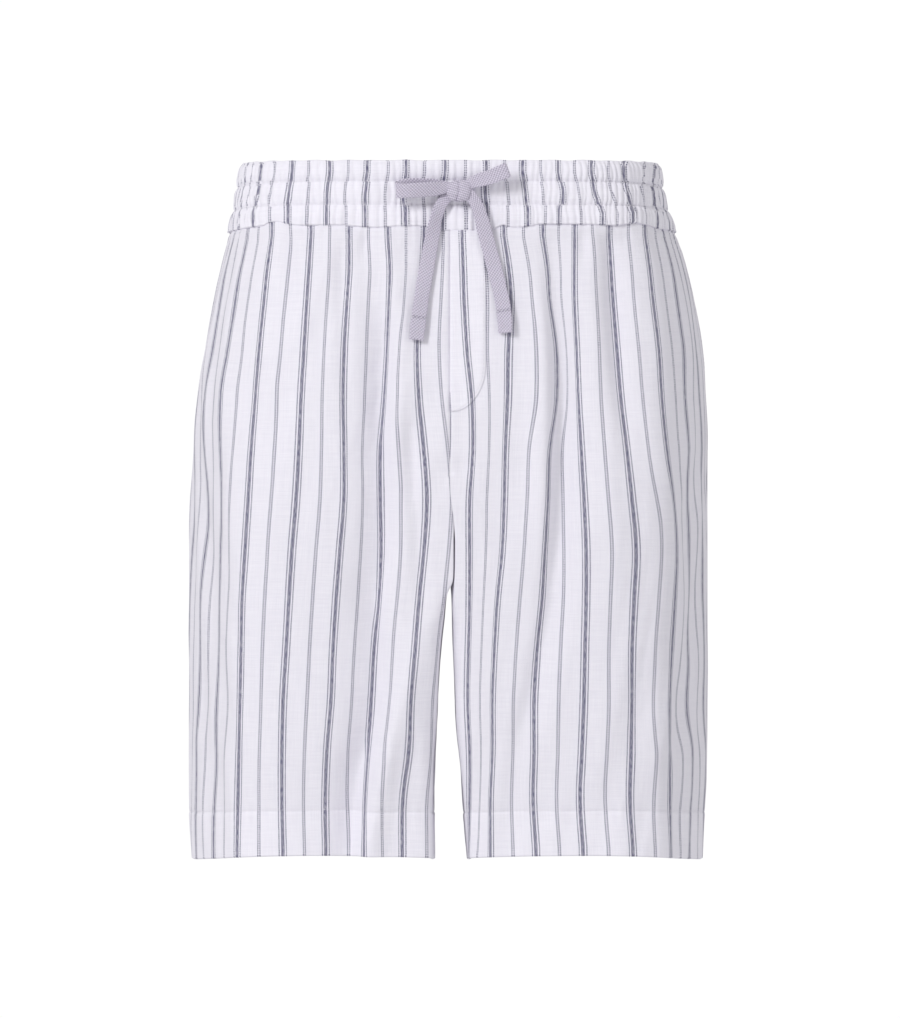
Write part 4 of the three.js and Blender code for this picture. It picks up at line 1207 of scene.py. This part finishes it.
def clothPanel(part, side):
    name = pieceName(part, side)
    heights = panelHeights()
    base = evenShares(panel["columns"])
    shareRows = []
    for z in heights:
        end = 1 - mouthInset(z) / ringAt(side, z)["side"] if part == "front" else 1
        shareRows.append(base * end)
    outer, normals, uv, hem = clothGrid(part, side, heights, shareRows)
    thick = mix(panel["thick"], panel["hemThick"], hem)
    inner = outer - normals * thick[..., None]
    inner[0, :, 2] = outer[0, :, 2]
    inner[-1, :, 2] = outer[-1, :, 2]
    flip = (side > 0) == (part == "back")
    piece = wallObject(name + "_panel", outer, inner, uv, linen, flip=flip)
    layers = np.concatenate([hem.ravel(), hem.ravel(), np.zeros(len(piece.data.vertices) - 2 * hem.size)])
    addValues(piece, "layers", layers)
    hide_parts(name)
    print(name, "panel, area", round(gridArea(outer), 4), "m2")
    return piece, outer, normals


panels = {}
for part in ("front", "back"):
    for side in (1, -1):
        panels[part, side] = clothPanel(part, side)


# A line along one row of a grid of cloth, or along a column that keeps its distance from the last one
def rowLine(outer, normals, z):
    r = int(np.argmin(np.abs(np.array(panelHeights()) - z)))
    return outer[r, 2:-2] + normals[r, 2:-2] * stitch["proud"]


def edgeLine(outer, normals, inset, lowest):
    line = []
    for r, z in enumerate(panelHeights()):
        if lowest < z < form["waistSeamZ"] - 1:
            steps = np.linalg.norm(np.diff(outer[r, ::-1], axis=0), axis=-1)
            c = outer.shape[1] - 1 - int(np.argmin(np.abs(np.cumsum(steps) - inset))) - 1
            line.append(outer[r, c] + normals[r, c] * stitch["proud"])
    return np.array(line)


seams = {"hemAbove": 1.2, "mouthInset": 5}
panelStitches = {}
for (part, side), (piece, outer, normals) in panels.items():
    lines = [rowLine(outer, normals, form["hemFoldZ"] + seams["hemAbove"])]
    if part == "front":
        lines.append(edgeLine(outer, normals, seams["mouthInset"], form["mouthEndZ"]))
    name = pieceName(part, side) + "_stitches"
    panelStitches[part, side] = sewLines(name, lines, 3 + len(panelStitches))


# Waistband: three elastic channels between two rows of stitching
waistband = {
    "thick": 2.6,
    "columnsEach": 330,
    "channels": [(23.5, 8.0, 2.1), (8.0, -9.4, 2.3), (-9.4, -24.3, 1.7)],
    "stitchedIn": -0.7,
    "slack": 1.34,
    "jog": 1.5,
    "endLift": 0.03,
    "rimZ": 22,
    "rimDip": -0.4,
    "rimHold": 0.55,
    "footPuff": 0.55,
    "gatherLevel": 0.4,
    "rolls": 0.35,
    "wander": ((1.1, 7, 31), (0.7, 3.1, 17)),
    "backRipple": 0.25,
    "topRipple": 0.35,
    "topDrop": 0.3,
    "backShift": 9,
}


def waistbandHeights():
    edges = [23.5, 23.1, 22.3]
    for top, low, _ in waistband["channels"]:
        t = np.linspace(0, 1, 16)[1:-1]
        edges += list(mix(top, low, t)) + [low]
    return sorted(set(round(float(z), 3) for z in edges), reverse=True)


def puffAt(z):
    for number, (top, low, puff) in enumerate(waistband["channels"]):
        if z >= low or number == 2:
            t = min(1, max(0, (top - z) / (top - low)))
            return number, t, mix(waistband["stitchedIn"], puff, math.sin(math.pi * t) ** 0.62)
    return 2, 1, 0


def waistbandHalf(part):
    heights = waistbandHeights()
    outer, inner, centreArcs = [], [], []
    for z in heights:
        channel, t, puff = puffAt(z)
        if z > waistband["rimZ"]:
            puff = mix(waistband["rimDip"], puff, 0.5)
        if channel == 2 and t > 0.6:
            puff = max(puff, waistband["footPuff"])
        rowOut, rowIn, arcs = [], [], []
        for side in (-1, 1):
            name = pieceName(part, side)
            ring = ringAt(side, z)
            shares = np.linspace(0, 1, waistband["columnsEach"])
            gap = form["seamGap"] / 2
            if part == "front":
                lengths = shares * (ring["side"] - gap)
            else:
                lengths = ring["full"] - shares * (ring["full"] - ring["side"] - gap)
            points = alongRing(side, z, lengths)
            across = alongRing(side, z, lengths + 2) - alongRing(side, z, lengths - 2)
            normals = unit(np.stack([across[:, 1] * side, -across[:, 0] * side, np.zeros(len(across))], -1))
            away = lengths if part == "front" else ring["full"] - lengths
            wander = sum(far * np.sin(z / down + away / along) for far, down, along in waistband["wander"])
            wave = gatherAt(name, channel, away + wander * 0.5) - waistband["gatherLevel"]
            # gathers are tighter where they are stitched, and softer where the channel stands out
            hold = 0.6 + 0.4 * abs(math.cos(math.pi * t)) if 0 < t < 1 else 1
            if z > waistband["rimZ"] - 1:
                hold *= waistband["rimHold"]
            ends = smooth((ring["side"] - away) / 4) if part == "front" else 1
            roll = waistband["rolls"] * softRolls(5 + side, away, np.full_like(away, z), "elastic")
            height = puff + gathers[name]["height"] * wave * hold * ends + roll
            face = points + normals * height[:, None]
            ripple = waistband["backRipple"] * np.sin(away / 3.7)[:, None]
            back = points - normals * (waistband["thick"] + ripple)
            if side < 0:
                face, back, away = face[::-1], back[::-1], -away[::-1]
                face, back, away = face[:-1], back[:-1], away[:-1]
            rowOut.append(face)
            rowIn.append(back)
            arcs.append(away)
        outer.append(np.concatenate(rowOut))
        inner.append(np.concatenate(rowIn))
        centreArcs.append(np.concatenate(arcs))
    outer, inner, arcs = np.array(outer), np.array(inner), np.array(centreArcs)
    outer[:, waistband["columnsEach"] - 1, 0] = 0
    inner[:, waistband["columnsEach"] - 1, 0] = 0
    for grid in (outer, inner):
        lower = smooth((-8 - grid[..., 2]) / 15)
        grid[..., 2] += seamOffset(part, grid) * lower
        top = smooth((grid[..., 2] - 14) / 9)
        ripple = waistband["topRipple"] * np.sin(arcs / 4.3) * np.sin(arcs / 19)
        grid[..., 2] += top * (ripple - waistband["topDrop"])
        endLift = waistband["endLift"] * (grid[..., 1] - form["frontY"]) * smooth((20 - grid[..., 1]) / 38)
        grid[..., 2] += endLift * smooth((grid[..., 2] - 8) / 15)
    if part == "front":
        seenX, seenZ = seenFrom(outer)
        across = acrossFrom(stripePlaces["waistband"], seenX, seenZ, arcs, waistband["slack"])
        # each row of stitching catches the cloth a little to one side
        for number, (top, low, _) in enumerate(waistband["channels"]):
            inChannel = (np.array(heights) < top - 0.01) & (np.array(heights) > low - 0.01)
            jog = softRolls(31 + number, arcs, np.zeros_like(arcs), "jog") * waistband["jog"]
            across = across + np.where(inChannel[:, None], jog, 0)
    else:
        across = arcs * waistband["slack"] + waistband["backShift"]
    uv = np.stack([across, -outer[..., 2]], -1)
    name = "waistband_" + part + "_gathered"
    piece = wallObject(name, outer, inner, uv, linen, flip=part == "back", rimOut=0.2)
    addValues(piece, "layers", np.ones(len(piece.data.vertices)))
    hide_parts("waistband_" + part + "_left", "waistband_" + part + "_right")
    print("waistband", part, "area", round(gridArea(outer), 4), "m2")
    lines = []
    for z in (waistband["channels"][0][1], waistband["channels"][1][1]):
        r = heights.index(z)
        away = unit(outer[r] - inner[r])
        lines.append((outer[r] + away * stitch["proud"])[3:-3])
    sewn = sewLines("waistband_" + part + "_stitches", lines, 17)
    return piece, sewn


waistbands = {part: waistbandHalf(part) for part in ("front", "back")}


# Pocket facings, seen through the slanting mouths
facing = {
    "tuck": 9,
    "drop": 2,
    "seamDrop": 0.25,
    "slope": 1.4,
    "endAbove": 3,
    "rows": 60,
    "columns": 22,
    "thick": 0.9,
    "halfDouble": 0.6,
}


def pocketFacing(side):
    end = form["mouthEndZ"] + facing["endAbove"]
    heights = list(np.linspace(form["waistSeamZ"] - 0.4, end, facing["rows"]))
    shareRows, drops = [], []
    for z in heights:
        width, inset = ringAt(side, z)["side"], mouthInset(z)
        shares = np.linspace(1 - (inset + facing["tuck"]) / width, 1, facing["columns"])
        under = np.clip((1 - shares) * width / max(inset, 0.01), 0, 1)
        shareRows.append(shares)
        drops.append(mix(facing["seamDrop"], facing["drop"], smooth(under * facing["slope"])))
    outer, normals, uv, _ = clothGrid("front", side, heights, shareRows)
    outer = outer - normals * np.array(drops)[..., None]
    uv[..., 0] = np.array([np.linspace(-(s[-1] - s[0]), 0, len(s)) * 250 for s in shareRows]) * 1.1 + 7
    inner = outer - normals * facing["thick"]
    name = "pocket_facing_" + ("left" if side > 0 else "right")
    piece = wallObject(name.replace("facing", "mouth_facing"), outer, inner, uv, linen, flip=side < 0)
    addValues(piece, "layers", np.full(len(piece.data.vertices), facing["halfDouble"]))
    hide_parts(name)
    return piece


facings = {side: pocketFacing(side) for side in (1, -1)}


# Mock fly, a layer stitched down on the +X front panel
fly = {
    "width": 26,
    "endZ": -163,
    "curve": 34,
    "thick": 0.75,
    "clear": 0.12,
    "rows": 90,
    "columns": 20,
    "stitchInset": 1.6,
    "puff": 0.3,
    "foldPuff": 0.55,
    "stitchDip": 0.3,
}


def flyReach(z):
    foot = np.clip((fly["endZ"] + fly["curve"] - z) / fly["curve"], 0, 1)
    return fly["width"] * np.sqrt(1 - (foot * 0.985) ** 2)


def mockFly():
    start = fly["endZ"] + fly["curve"]
    foot = [start - fly["curve"] * math.sin(a) for a in np.linspace(0, math.pi / 2, 26)[1:]]
    heights = list(np.linspace(form["waistSeamZ"] - 0.35, start, fly["rows"] - 25)) + foot
    shareRows = [np.linspace(0, flyReach(z) / ringAt(1, z)["side"], fly["columns"]) for z in heights]
    face, normals, uv, _ = clothGrid("front", 1, heights, shareRows)
    shares = np.array(shareRows)
    reach = np.array([flyReach(z) for z in heights])[:, None]
    fromEdge = reach - shares * np.array([ringAt(1, z)["side"] for z in heights])[:, None]
    fromCentre = reach - fromEdge
    puff = fly["puff"] * smooth(fromEdge / 4) + fly["foldPuff"] * bell(fromCentre, 2.2)
    puff = puff - fly["stitchDip"] * bell(fromEdge - fly["stitchInset"], 0.6)
    outer = face + normals * (fly["clear"] + fly["thick"] + puff)[..., None]
    inner = face + normals * fly["clear"]
    piece = wallObject("mock_fly", outer, inner, uv, linen, flip=False)
    addValues(piece, "layers", np.ones(len(piece.data.vertices)))
    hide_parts("fly")
    return piece


flyPiece = mockFly()


# The J of stitching inside the fly's edge, from the waistband down and round to the middle
def flyLine():
    line = []
    start = fly["endZ"] + fly["curve"]
    inset = fly["stitchInset"]
    route = [(z, fly["width"] - inset) for z in np.linspace(form["waistSeamZ"] - 1, start, 60)]
    for turn in np.linspace(0, math.pi / 2, 40)[1:-2]:
        z = start - (fly["curve"] - inset) * math.sin(turn)
        route.append((z, (fly["width"] - inset) * math.cos(turn)))
    for z, reach in route:
        share = reach / ringAt(1, z)["side"]
        step = 0.6 / ringAt(1, z)["side"]
        shares = np.array([share - step, share, share + step])
        face, normals, _, _ = clothGrid("front", 1, [z + 0.6, z, z - 0.6], [shares] * 3)
        line.append(face[1, 1] + normals[1, 1] * (fly["clear"] + fly["thick"] + stitch["proud"]))
    return np.array(line)


flyStitches = sewLines("fly_stitches", [flyLine()], 29)
print("waistband, facings and fly ready")


# Studio
studio = {
    "floorZ": -0.78,
    "floorSize": 3.0,
    "surround": 0.57,
    "seenWhite": 1.02,
    "key": {"place": (-2.2, -3.0, 1.6), "aim": (0, 0, -0.2), "size": (0.9, 1.3), "power": 78},
    "fill": {"place": (2.4, -2.0, 0.2), "aim": (0, 0, -0.25), "size": (1.4, 1.8), "power": 12},
}
floorMaterial, floorTree, floorShader = newMaterial("pale_floor", {"Roughness": 0.9})
grain = noise(floorTree, addNode(floorTree, "ShaderNodeTexCoord").outputs["Object"], 6.0, 4.0, flat=False)
floorColour = blended(floorTree, grain, (0.84, 0.84, 0.85, 1), (0.9, 0.9, 0.9, 1))
floorTree.links.new(floorColour, floorShader.inputs["Base Color"])
half = studio["floorSize"] / 2
corners = [(-half, -half), (half, -half), (half, half), (-half, half)]
floorMesh = bpy.data.meshes.new("floor")
floorMesh.from_pydata([(x, y, studio["floorZ"]) for x, y in corners], [], [(0, 1, 2, 3)])
floorMesh.materials.append(floorMaterial)
floor = addObject("floor", floorMesh)

world = bpy.context.scene.world or bpy.data.worlds.new("surround")
bpy.context.scene.world = world
world.use_nodes = True
worldTree = world.node_tree
worldTree.nodes.clear()
seenByCamera = addNode(worldTree, "ShaderNodeLightPath").outputs["Is Camera Ray"]
extra = studio["seenWhite"] - studio["surround"]
glow = maths(worldTree, "MULTIPLY_ADD", seenByCamera, extra, studio["surround"])
surround = addNode(worldTree, "ShaderNodeBackground", Color=(1, 1, 1, 1), Strength=glow)
addNode(worldTree, "ShaderNodeOutputWorld", Surface=surround.outputs[0])


def softLight(name, place, aim, size, power):
    data = bpy.data.lights.new(name, "AREA")
    data.shape = "RECTANGLE"
    data.size, data.size_y = size
    data.energy = power
    lamp = addObject(name, data)
    lamp.location = place
    lamp.rotation_euler = (Vector(aim) - Vector(place)).to_track_quat("-Z", "Y").to_euler()


softLight("key_light", **studio["key"])
softLight("fill_light", **studio["fill"])
bpy.context.scene.view_settings.view_transform = "Standard"
bpy.context.scene.view_settings.look = "None"
print("studio ready")


# What each piece of cloth was cut to
cuts = {
    ("front", 1): (0.335, 0.54, 0.145),
    ("front", -1): (0.335, 0.54, 0.145),
    ("back", 1): (0.355, 0.54, 0.15),
    ("back", -1): (0.355, 0.54, 0.15),
}
for (part, side), (piece, outer, normals) in panels.items():
    width, length, flatArea = cuts[part, side]
